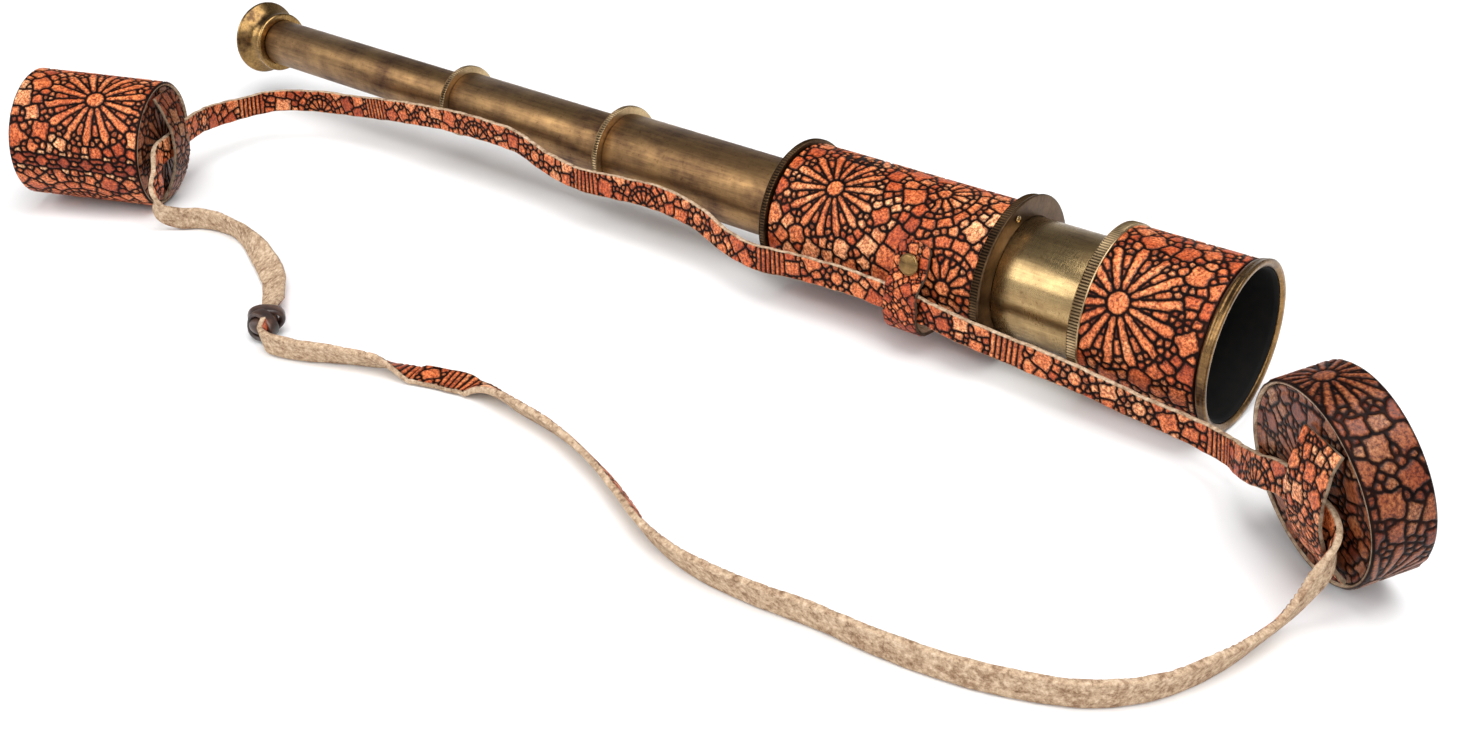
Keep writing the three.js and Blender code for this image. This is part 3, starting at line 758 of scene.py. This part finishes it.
def make_sunshade():
    rear, front, outer = span("sunshade_front_rim")
    tube_rear, tube_front, tube_outer = span("sunshade_tube")
    lip = 0.9 * MM
    bore = tube_outer - 0.1 * MM
    rim = lathe("sunshade_rim_turned", [
        (rear, tube_outer + 0.1 * MM), (rear, outer - 1.0 * MM), (rear + lip, outer - 0.35 * MM),
        (rear + 2 * lip, outer - 0.5 * MM), (front - 0.55 * MM, outer), (front, outer - 0.5 * MM),
        (front - 0.05 * MM, outer - 1.6 * MM), (front - 0.8 * MM, bore), (front - 1.1 * MM, bore),
    ], 240, ease=0.3 * MM)
    dress(rim, BRONZE, "sunshade", "polished_brass", "sunshade_front_rim")
    liner = lathe("sunshade_liner", [
        (tube_rear, bore - 1.0 * MM), (tube_rear, tube_outer - 0.1 * MM), (tube_front, tube_outer - 0.1 * MM),
        (tube_front, bore - 0.5 * MM), (tube_front - 1.2 * MM, bore - 1.0 * MM),
    ], 200)
    dress(liner, BLACK, "sunshade", "polished_brass", "sunshade_tube")
    rear, front, outer = span("sunshade_rear_ring")
    ring_front = tube_rear + 1.1 * MM
    inner = span("objective_tube")[2] + 0.3 * MM
    ring = lathe("sunshade_knurled_ring", [
        (rear, inner), (rear, outer - 0.5 * MM), (rear + 0.3 * MM, outer - 0.15 * MM), (rear + 0.45 * MM, outer),
        (ring_front - 0.45 * MM, outer), (ring_front - 0.3 * MM, outer - 0.15 * MM), (ring_front, outer - 0.3 * MM),
        (ring_front, bore - 0.6 * MM), (front, bore - 0.6 * MM), (front, inner),
    ], teeth=164, tooth_span=(rear + 0.4 * MM, ring_front - 0.4 * MM), ease=0.08 * MM)
    dress(ring, RING_BRASS, "sunshade", "polished_brass", "sunshade_rear_ring")


def make_objective():
    rear, front, outer = span("objective_tube")
    bore = outer - 1 * MM
    tube = lathe("objective_tube_turned", ring_profile(rear, front, outer, bore), 200)
    dress(tube, BRASS, "barrel", "polished_brass", "objective_tube")
    rear, front, outer = span("objective_stop_ring")
    opening = 16.6 * MM
    stop = lathe("objective_stop_turned", [
        (rear, opening), (rear, outer), (front, outer), (front, outer - 2 * MM), (front - 1 * MM, outer - 2.6 * MM),
        (front - 1.2 * MM, opening + 1 * MM), (front - 1.6 * MM, opening),
    ], 160)
    dress(stop, BLACK, "barrel", "polished_brass", "objective_stop_ring")
    make_lens("objective_front_lens", "barrel", 1.0 * MM, 1.0 * MM)
    make_lens("objective_rear_lens", "barrel", 0.4 * MM, -0.9 * MM)


def make_lens(node, body, rear_bulge, front_bulge):
    rear, front, outer = span(node)
    rear_edge = rear + max(rear_bulge, 0)
    front_edge = front - max(front_bulge, 0)
    rings = 14
    profile = [(rear_edge - rear_bulge * (1 - (k / rings) ** 2), max(outer * k / rings, 0.02 * MM))
               for k in range(rings + 1)]
    profile += [(front_edge + front_bulge * (1 - (k / rings) ** 2), max(outer * k / rings, 0.02 * MM))
                for k in range(rings, -1, -1)]
    dress(lathe(node + "_ground", profile, 96, ease=0.02 * MM), GLASS, body, "lens_glass", node)


def make_barrel():
    rear, front, outer = span("barrel_front_flange")
    wrap_rear, wrap_front, _ = span("barrel_leather_wrap")
    knurl = outer - 0.6 * MM
    band_rear = wrap_front - 1.1 * MM
    lip_rear = front - 0.9 * MM
    sleeve = span("barrel_tube")[2] - 1.1 * MM
    bore = span("objective_tube")[2] + 0.2 * MM
    flange = lathe("barrel_flange_knurled", [
        (rear, bore), (rear, sleeve), (band_rear, sleeve), (band_rear, knurl - 0.3 * MM),
        (band_rear + 0.25 * MM, knurl), (lip_rear - 0.2 * MM, knurl), (lip_rear, knurl - 0.2 * MM),
        (lip_rear + 0.05 * MM, outer - 0.15 * MM), (lip_rear + 0.35 * MM, outer), (front - 0.25 * MM, outer),
        (front, outer - 0.35 * MM), (front, bore),
    ], teeth=164, tooth_span=(band_rear + 0.2 * MM, lip_rear - 0.15 * MM), ease=0.08 * MM)
    dress(flange, DARK, "barrel", "polished_brass", "barrel_front_flange")
    make_screw()
    make_collar("barrel_rear_ring", "barrel_knurled_ring", "barrel", span("draw3_tube")[2], 144, DARK)


def make_collar(node, name, body, tube_radius, teeth, material):
    """A knurled collar with a smooth rounded lip on its rear edge and a sleeve inside the tube."""
    rear, front, outer = span(node)
    ring_front = rear + 2.4 * MM
    lip = rear + 0.45 * MM
    bore = tube_radius + 0.28 * MM
    sleeve = bore + 1.0 * MM
    piece = lathe(name, [
        (rear, bore), (rear, outer - 0.7 * MM), (rear + 0.2 * MM, outer - 0.2 * MM), (rear + 0.4 * MM, outer - 0.1 * MM),
        (lip, outer - 0.4 * MM), (lip + 0.2 * MM, outer), (ring_front - 0.25 * MM, outer),
        (ring_front, outer - 0.3 * MM), (ring_front, sleeve), (front, sleeve), (front, bore),
    ], teeth=teeth, tooth_span=(lip + 0.1 * MM, ring_front - 0.1 * MM), ease=0.08 * MM, depth=0.35 * MM)
    return dress(piece, material, body, "polished_brass", node)


def make_screw():
    """A slotted round-head screw on the flange's face."""
    low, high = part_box("flange_screw")
    middle = (low + high) / 2
    radius = (high.z - low.z) / 2
    height = high.x - low.x
    rings, segments = 10, 48
    points = []
    for k in range(rings + 1):
        a = k / rings * math.pi / 2
        for j in range(segments):
            b = j / segments * 2 * math.pi
            y = radius * max(math.cos(a), 0.02) * math.cos(b)
            z = radius * max(math.cos(a), 0.02) * math.sin(b)
            slot_depth = 0.28 * MM if abs(y * 0.8 + z * 0.6) < 0.2 * MM else 0
            x = low.x + max(height * math.sin(a) ** 0.8 - slot_depth, 0.02 * MM)
            points.append((x, middle.y + y, middle.z + z))
    faces = grid_faces(rings + 1, segments, wrap_columns=True).tolist()
    faces.append([rings * segments + j for j in range(segments)])
    faces.append(list(range(segments))[::-1])
    dress(sharpen(add_object("flange_screw_slotted", points, faces)), BRASS, "barrel", "polished_brass", "flange_screw")


def make_draws():
    for name, inner_wall, teeth, nxt in (("draw3", 0.8, 108, "draw2"), ("draw2", 0.8, 92, "draw1")):
        rear, front, outer = span(name + "_tube")
        tube = lathe(name + "_tube_turned", ring_profile(rear, front, outer, outer - inner_wall * MM), 160)
        dress(tube, AGED, name, "aged_brass", name + "_tube")
        make_collar(name + "_collar", name + "_knurled_collar", name, span(nxt + "_tube")[2], teeth, RING_BRASS)
    rear, front, outer = span("draw1_tube")
    tube = lathe("draw1_tube_turned", ring_profile(rear, front, outer, outer - 0.8 * MM), 144)
    dress(tube, AGED, "draw1", "aged_brass", "draw1_tube")


def make_eyepiece():
    rear, front, outer = span("eyepiece_shoulder_ring")
    bore = span("draw1_tube")[2] - 0.8 * MM
    ring = lathe("eyepiece_shoulder_turned", [
        (rear, bore), (rear, outer - 0.5 * MM), (rear + 0.5 * MM, outer - 0.05 * MM), (rear + 1.2 * MM, outer),
        (front - 0.5 * MM, outer - 0.05 * MM), (front, outer - 0.6 * MM), (front, bore),
    ], 144, ease=0.3 * MM)
    dress(ring, RIM_BRASS, "draw1", "polished_brass", "eyepiece_shoulder_ring")
    rear, front, outer = span("eyepiece_cup")
    hole = 5.5 * MM
    flare = [(k / 12, outer - 0.4 * MM - (outer - 0.4 * MM - 10.6 * MM) * math.sin(k / 12 * math.pi / 2)) for k in range(13)]
    neck = [(rear + 2.0 * MM + t * (front - rear - 4.2 * MM), r) for t, r in flare]
    cup = lathe("eyepiece_cup_turned", [
        (rear + 1.8 * MM, hole), (rear + 1.1 * MM, 8.5 * MM), (rear + 0.3 * MM, 11.6 * MM), (rear, outer - 2.0 * MM),
        (rear + 0.1 * MM, outer - 0.8 * MM), (rear + 0.8 * MM, outer), (rear + 1.6 * MM, outer - 0.1 * MM),
        *neck, (front - 0.5 * MM, 10.6 * MM), (front, 10.9 * MM), (front, bore), (rear + 3.6 * MM, bore),
        (rear + 3.6 * MM, hole),
    ], 160, ease=0.25 * MM)
    dress(cup, RIM_BRASS, "draw1", "polished_brass", "eyepiece_cup")
    make_lens("eye_lens", "draw1", 0.9 * MM, 0.9 * MM)


# ---------- leather sleeves, caps and keeper ----------
def leather_sleeve(name, origin, axis, up, length, outer, inner, sheet, relief, body, node, material, lining=True,
                   bumpy=0.0):
    """A rolled leather sleeve about axis from origin, its pattern read round it from `up`."""
    axis = Vector(axis).normalized()
    up = (Vector(up) - axis * Vector(up).dot(axis)).normalized()
    side = axis.cross(up)
    around = int(2 * math.pi * outer / (0.36 * MM))
    along = int(length / (0.36 * MM)) + 1
    round_over = 0.35 * MM
    angle = np.arange(around) / around * 2 * math.pi
    shape = random.Random(len(name))
    wave = sum(np.sin(angle * k + shape.uniform(0, 6.3)) / k for k in (2, 3, 5)) * bumpy
    x = np.linspace(round_over, length - round_over, along)
    u = np.broadcast_to(angle[None, :] * outer / MM, (along, around))
    v = np.broadcast_to(x[:, None] / MM, (along, around))
    lift, tint = sheet.sample(u, v)
    edge = np.minimum(x - round_over, length - round_over - x)[:, None]
    lift = lift * np.clip(edge / (0.5 * MM), 0, 1)
    radius = outer - relief * (1 - domed(lift))
    rows = [np.full((1, around), outer - relief - 0.3 * MM), radius, np.full((1, around), outer - relief - 0.3 * MM),
            np.full((1, around), inner), np.full((1, around), inner)]
    x_rows = np.concatenate(([0], x, [length, length, 0]))
    radius = np.concatenate(rows) + wave[None, :]
    zeros = np.zeros((1, around))
    ones = np.ones((1, around))
    lifts = np.concatenate((zeros, lift, zeros, ones * 0.6, ones * 0.6))
    raw = np.concatenate((zeros, np.zeros((along, around)), zeros, ones, ones)) if lining else np.zeros_like(lifts)
    tints = np.concatenate((zeros, tint, zeros, zeros, zeros))
    axis, up, side = (np.array(a) for a in (axis, up, side))
    points = (np.array(origin)[None, None, :] + axis[None, None, :] * x_rows[:, None, None]
              + up[None, None, :] * (radius * np.cos(angle)[None, :])[..., None]
              + side[None, None, :] * (radius * np.sin(angle)[None, :])[..., None])
    faces = grid_faces(len(x_rows), around, wrap_rows=True, wrap_columns=True)
    piece = add_object(name, points.reshape(-1, 3), faces, {"relief": lifts, "tint": tints, "raw": raw})
    return dress(piece, material, body, "embossed_leather", node)


def toward_camera(axis, point):
    """The direction round an axis that faces the camera."""
    to_camera = (RIM + CAMERA_PLACE) - Vector(point)
    axis = Vector(axis).normalized()
    return (to_camera - axis * to_camera.dot(axis)).normalized()


def make_wraps():
    axis = Vector((1, 0, 0))
    low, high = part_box("sunshade_leather_wrap")
    outer = (high.z - low.z) / 2
    length = high.x - low.x
    wide = 2 * math.pi * outer / MM
    sheet = Mosaic(wide, length / MM, 21, wraps=True, scale=1.12)
    sheet.star(wide - 1, 10.5, size=1.15)
    sheet.star(wide * 0.34, 22, size=1.12, phase=0.3)
    sheet.star(wide * 0.67, 15, size=1.12, phase=0.6)
    sheet.fill()
    origin = Vector((low.x, AXIS_Y, AXIS_Z))
    facing = toward_camera(axis, origin)
    leather_sleeve("sunshade_leather_embossed", origin, axis, facing, length, outer, outer - 1.1 * MM, sheet,
                   0.32 * MM, "sunshade", "sunshade_leather_wrap", LEATHER)
    low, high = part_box("barrel_leather_wrap")
    outer = (high.z - low.z) / 2
    length = high.x - low.x
    wide = 2 * math.pi * outer / MM
    sheet = Mosaic(wide, length / MM, 22, wraps=True, scale=1.12)
    sheet.star(wide - 9, 21)
    sheet.star(0.42 * wide, 52, phase=0.5)
    sheet.star(0.72 * wide, 22, phase=0.2)
    sheet.fan(12, 68, math.pi, 1.05)
    sheet.fan(0.86 * wide, 56, math.pi / 2, 0.9)
    sheet.fill()
    origin = Vector((low.x, AXIS_Y, AXIS_Z))
    leather_sleeve("barrel_leather_embossed", origin, axis, facing, length, outer, outer - 0.9 * MM, sheet,
                   0.32 * MM, "barrel", "barrel_leather_wrap", LEATHER)


CAP_HEADING = {"objective_cap": 54.3, "eyepiece_cap": 212}
CAP_TILT = {"objective_cap": 12, "eyepiece_cap": 4}
CAP_DEPTH = {"objective_cap": 17 * MM, "eyepiece_cap": 48 * MM}
CAP_WALL = 1.2 * MM
BAND_WIDTH = {"objective_cap": 15.5 * MM, "eyepiece_cap": 12 * MM}
BAND_SHIFT = {"objective_cap": 8.7 * MM, "eyepiece_cap": 0}
BAND_RISE = 6.2 * MM
BAND_THICKNESS = 1.4 * MM


class CapFrame:
    """A cap's own frame: x from its end disc to its mouth, y level, z up."""

    def __init__(self, name):
        heading = math.radians(CAP_HEADING[name])
        tilt = math.radians(CAP_TILT[name])
        self.depth = CAP_DEPTH[name]
        self.x = Vector((math.cos(tilt) * math.cos(heading), math.cos(tilt) * math.sin(heading), math.sin(tilt)))
        self.y = Vector((-math.sin(heading), math.cos(heading), 0))
        self.z = self.x.cross(self.y)
        low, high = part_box(name + "_wall")
        self.radius = (high.z - low.z - self.depth * math.sin(tilt)) / 2 / math.cos(tilt)
        self.origin = (low + high) / 2 - self.x * self.depth / 2

    def at(self, x, y, z):
        return self.origin + self.x * x + self.y * y + self.z * z


def make_cap_disc(name, cap, seed):
    """The end disc: embossed leather, a little domed, let into the wall."""
    radius = cap.radius - CAP_WALL - 0.25 * MM
    rings = int(radius / (0.36 * MM))
    segments = 360
    wide = 2 * radius / MM
    sheet = Mosaic(wide, wide, seed)
    sheet.star(wide / 2, wide / 2, size=0.95)
    sheet.fill()
    r = np.linspace(0.2 * MM, radius, rings)[:, None]
    a = (np.arange(segments) / segments * 2 * math.pi)[None, :]
    y, z = r * np.cos(a), r * np.sin(a)
    lift, tint = sheet.sample((y + radius) / MM, (z + radius) / MM)
    lift = lift * np.clip((radius - r) / (0.8 * MM), 0, 1)
    dome = 0.5 * MM * (1 - (r / radius) ** 2) - 0.35 * MM * np.exp(-((r - radius * 0.93) / (0.7 * MM)) ** 2)
    x = 0.35 * MM - dome + 0.3 * MM * (1 - domed(lift))
    front = (np.array(cap.origin) + np.array(cap.x) * x[..., None] + np.array(cap.y) * y[..., None]
             + np.array(cap.z) * z[..., None]).reshape(-1, 3)
    back_x = np.full(segments, 1.9 * MM)
    back = (np.array(cap.origin) + np.array(cap.x) * back_x[:, None] + np.array(cap.y) * y[-1][:, None]
            + np.array(cap.z) * z[-1][:, None])
    points = np.concatenate((front, back))
    faces = grid_faces(rings + 1, segments, wrap_columns=True).tolist()
    faces.append(list(range(segments))[::-1])
    faces.append([rings * segments + k for k in range(segments)])
    zeros = np.zeros(segments)
    values = {"relief": np.concatenate((lift.ravel(), zeros + 0.5)), "tint": np.concatenate((tint.ravel(), zeros)),
              "raw": np.concatenate((np.zeros(lift.size), zeros + 1))}
    piece = add_object(name + "_disc_embossed", points, faces, values)
    dress(piece, DEEP, name, "embossed_leather", name + "_disc")


def make_cap_band(name, cap, seed):
    """The bowed band that the strap runs behind."""
    inner = cap.radius - CAP_WALL - 1 * MM
    width, shift = BAND_WIDTH[name], BAND_SHIFT[name]
    reach = math.sqrt(inner ** 2 - (width / 2 + shift) ** 2)
    t = np.linspace(-1, 1, int(2 * reach / (0.4 * MM)))
    x = -0.1 * MM - BAND_THICKNESS / 2 - BAND_RISE * (1 - t ** 2)
    line = (np.array(cap.origin)[None, :] + np.array(cap.x)[None, :] * x[:, None]
            + np.array(cap.z)[None, :] * (reach * t)[:, None] - np.array(cap.y)[None, :] * shift)
    way = np.broadcast_to(np.array(cap.y), line.shape)
    sheet = Mosaic(2.3 * reach / MM, width / MM, seed, scale=0.8)
    sheet.fan(reach / MM, width / MM / 2, math.pi, 0.62)
    sheet.fill()
    piece = strap_mesh(name + "_band_bowed", line, way, width, BAND_THICKNESS, sheet, seed=seed, fray=0.5 * MM,
                       edge_raw=0.45)
    dress(piece, DEEP if name == "eyepiece_cap" else LEATHER, name, "embossed_leather", name + "_band")


def make_cap(name, seed, decorate, up, bumpy):
    cap = CapFrame(name)
    wide = 2 * math.pi * cap.radius / MM
    sheet = Mosaic(wide, cap.depth / MM, seed, wraps=True, scale=1.12)
    decorate(sheet, wide)
    sheet.fill()
    facing = up if up else toward_camera(cap.x, cap.origin)
    leather_sleeve(name + "_wall_embossed", cap.origin, cap.x, facing, cap.depth, cap.radius, cap.radius - CAP_WALL,
                   sheet, 0.32 * MM, name, name + "_wall", DEEP if name == "objective_cap" else LEATHER, bumpy=bumpy)
    make_cap_disc(name, cap, seed + 1)
    make_cap_band(name, cap, seed + 2)


def objective_motifs(sheet, wide):
    sheet.star(wide - 5.5, 8, size=1.0)
    sheet.star(wide * 0.36, 3, phase=0.4)
    sheet.star(wide * 0.7, 12, phase=0.2)


def eyepiece_motifs(sheet, wide):
    sheet.seam(wide - 11.5)
    sheet.star(14, 18.5, size=1.1)
    sheet.star(wide * 0.5, 24, phase=0.3)
    sheet.fan(wide * 0.75, 24, 0)


def make_keeper():
    """The leather tab riveted to the barrel: down over the strap, under it and back to the barrel."""
    low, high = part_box("strap_keeper")
    middle = (low.x + high.x) / 2
    wrap = span("barrel_leather_wrap")[2]
    lie = wrap + 1.05 * MM
    route = []
    for degrees in (30, 24, 18, 12, 6):
        a = math.radians(degrees)
        route.append((middle, AXIS_Y - lie * math.cos(a), AXIS_Z + lie * math.sin(a)))
    for y, z in ((-24.3, 27.2), (-26.4, 25.7), (-27.9, 23.3), (-28.05, 18.8), (-27.9, 14.4), (-26.1, 10.6),
                 (-22.9, 8.3)):
        route.append((middle, AXIS_Y + y * MM, z * MM))
    for degrees in (-54, -60, -67):
        a = math.radians(degrees)
        route.append((middle, AXIS_Y - lie * math.cos(a), AXIS_Z + lie * math.sin(a)))
    line, stations = smooth_route(route, 0.36 * MM)
    way = np.broadcast_to(np.array((1.0, 0, 0)), line.shape)
    ease = np.clip(stations / (3.4 * MM), 0, 1)
    taper = np.clip(1 - (1 - ease) ** 2.6, 0.02, 1) ** 0.5
    sheet = Mosaic(stations[-1] / MM + 1, (high.x - low.x) / MM + 1, 61, scale=0.55).fill()
    piece = strap_mesh("strap_keeper_tab", line, way, high.x - low.x, 1.5 * MM, sheet, relief=0.2 * MM,
                       seed=3, fray=0.3 * MM, taper=taper, edge_raw=0.15)
    dress(piece, LEATHER, "barrel", "embossed_leather", "strap_keeper")
    low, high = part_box("keeper_stud")
    base = (low + high) / 2
    tilt = math.radians(12)
    normal = Vector((0, -math.cos(tilt), math.sin(tilt)))
    base -= normal * 0.7 * MM
    radius = 3.5 * MM
    profile = [(0, radius * 0.92), (0.25 * MM, radius), (0.5 * MM, radius * 0.97)]
    profile += [(0.5 * MM + 0.5 * MM * math.sin(k / 8 * math.pi / 2), radius * 0.9 * math.cos(k / 8 * math.pi / 2))
                for k in range(9)]
    across = Vector((1, 0, 0))
    third = normal.cross(across)
    segments = 64
    points = [base + normal * h + (across * math.cos(b) + third * math.sin(b)) * max(rr, 0.02 * MM)
              for h, rr in profile for b in (j / segments * 2 * math.pi for j in range(segments))]
    faces = grid_faces(len(profile), segments, wrap_columns=True).tolist()
    faces.append(list(range(segments)))
    faces.append([(len(profile) - 1) * segments + j for j in range(segments)][::-1])
    stud = sharpen(add_object("keeper_stud_domed", points, faces), 50)
    dress(stud, RIM_BRASS, "barrel", "polished_brass", "keeper_stud")


def finish_hidden_nodes():
    """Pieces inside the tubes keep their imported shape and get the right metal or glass."""
    for names, material in (
        (("barrel_tube", "objective_seat_ring", "erector_tube", "draw3_stop_ring", "draw2_stop_ring",
          "draw1_stop_ring"), AGED),
        (("erector_front_lens", "erector_rear_lens", "field_lens"), GLASS),
    ):
        for name in names:
            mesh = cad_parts[name].data
            mesh.materials.clear()
            mesh.materials.append(material)


# ---------- floor and light ----------
def make_floor():
    size = 4.0
    steps = 9
    t = np.linspace(-size, size, steps)
    x, y = np.meshgrid(t, t, indexing="ij")
    points = np.stack([x, y, np.full_like(x, -0.0002)], -1).reshape(-1, 3)
    floor = add_object("floor", points, grid_faces(steps, steps)[:, ::-1])
    m = Nodes("pale_table")
    m.set(Base_Color=m.ramp(m.noise(3, 2), (0.2, (0.90, 0.90, 0.905)), (0.8, (0.93, 0.93, 0.93))), Roughness=0.75)
    m.set(Specular_IOR_Level=0.15)
    floor.data.materials.append(m.material)


def add_area_light(name, place, aim, size, power, colour=(1, 1, 1)):
    data = bpy.data.lights.new(name, "AREA")
    data.shape = "RECTANGLE"
    data.size, data.size_y = size
    data.energy = power
    data.color = colour
    light = bpy.data.objects.new(name, data)
    bpy.context.scene.collection.objects.link(light)
    light.location = place
    light.rotation_mode = "QUATERNION"
    light.rotation_quaternion = (Vector(aim) - Vector(place)).to_track_quat("-Z", "Y")


def make_lights():
    world = bpy.data.worlds.new("studio")
    bpy.context.scene.world = world
    world.use_nodes = True
    background = world.node_tree.nodes["Background"]
    nodes, links = world.node_tree.nodes, world.node_tree.links
    where = nodes.new("ShaderNodeTexCoord")
    split = nodes.new("ShaderNodeSeparateXYZ")
    ramp = nodes.new("ShaderNodeValToRGB")
    shift = nodes.new("ShaderNodeMapRange")
    links.new(where.outputs["Generated"], split.inputs["Vector"])
    links.new(split.outputs["Z"], shift.inputs["Value"])
    shift.inputs["From Min"].default_value = 0.0
    shift.inputs["From Max"].default_value = 0.7
    links.new(shift.outputs["Result"], ramp.inputs["Fac"])
    ramp.color_ramp.elements[0].color = (0.84, 0.85, 0.87, 1)
    ramp.color_ramp.elements[1].color = (0.11, 0.11, 0.115, 1)
    links.new(ramp.outputs["Color"], background.inputs["Color"])
    background.inputs["Strength"].default_value = 0.85
    add_area_light("key", (-0.85, -1.05, 0.85), (0, 0, 0.02), (1.5, 0.85), 11.5)
    add_area_light("fill", (1.0, -0.8, 1.0), (0.05, 0, 0), (1.2, 0.9), 11)
    add_area_light("top", (0.42, -0.1, 1.6), (0, 0, 0), (1.6, 1.1), 31)


bpy.context.scene.view_settings.view_transform = "Standard"
make_sunshade()
make_objective()
make_barrel()
make_draws()
make_eyepiece()
make_wraps()
make_cap("objective_cap", 31, objective_motifs, Vector((0, 0, 1)), 0.25 * MM)
make_cap("eyepiece_cap", 41, eyepiece_motifs, None, 0.2 * MM)
make_keeper()
finish_hidden_nodes()
make_floor()
make_lights()
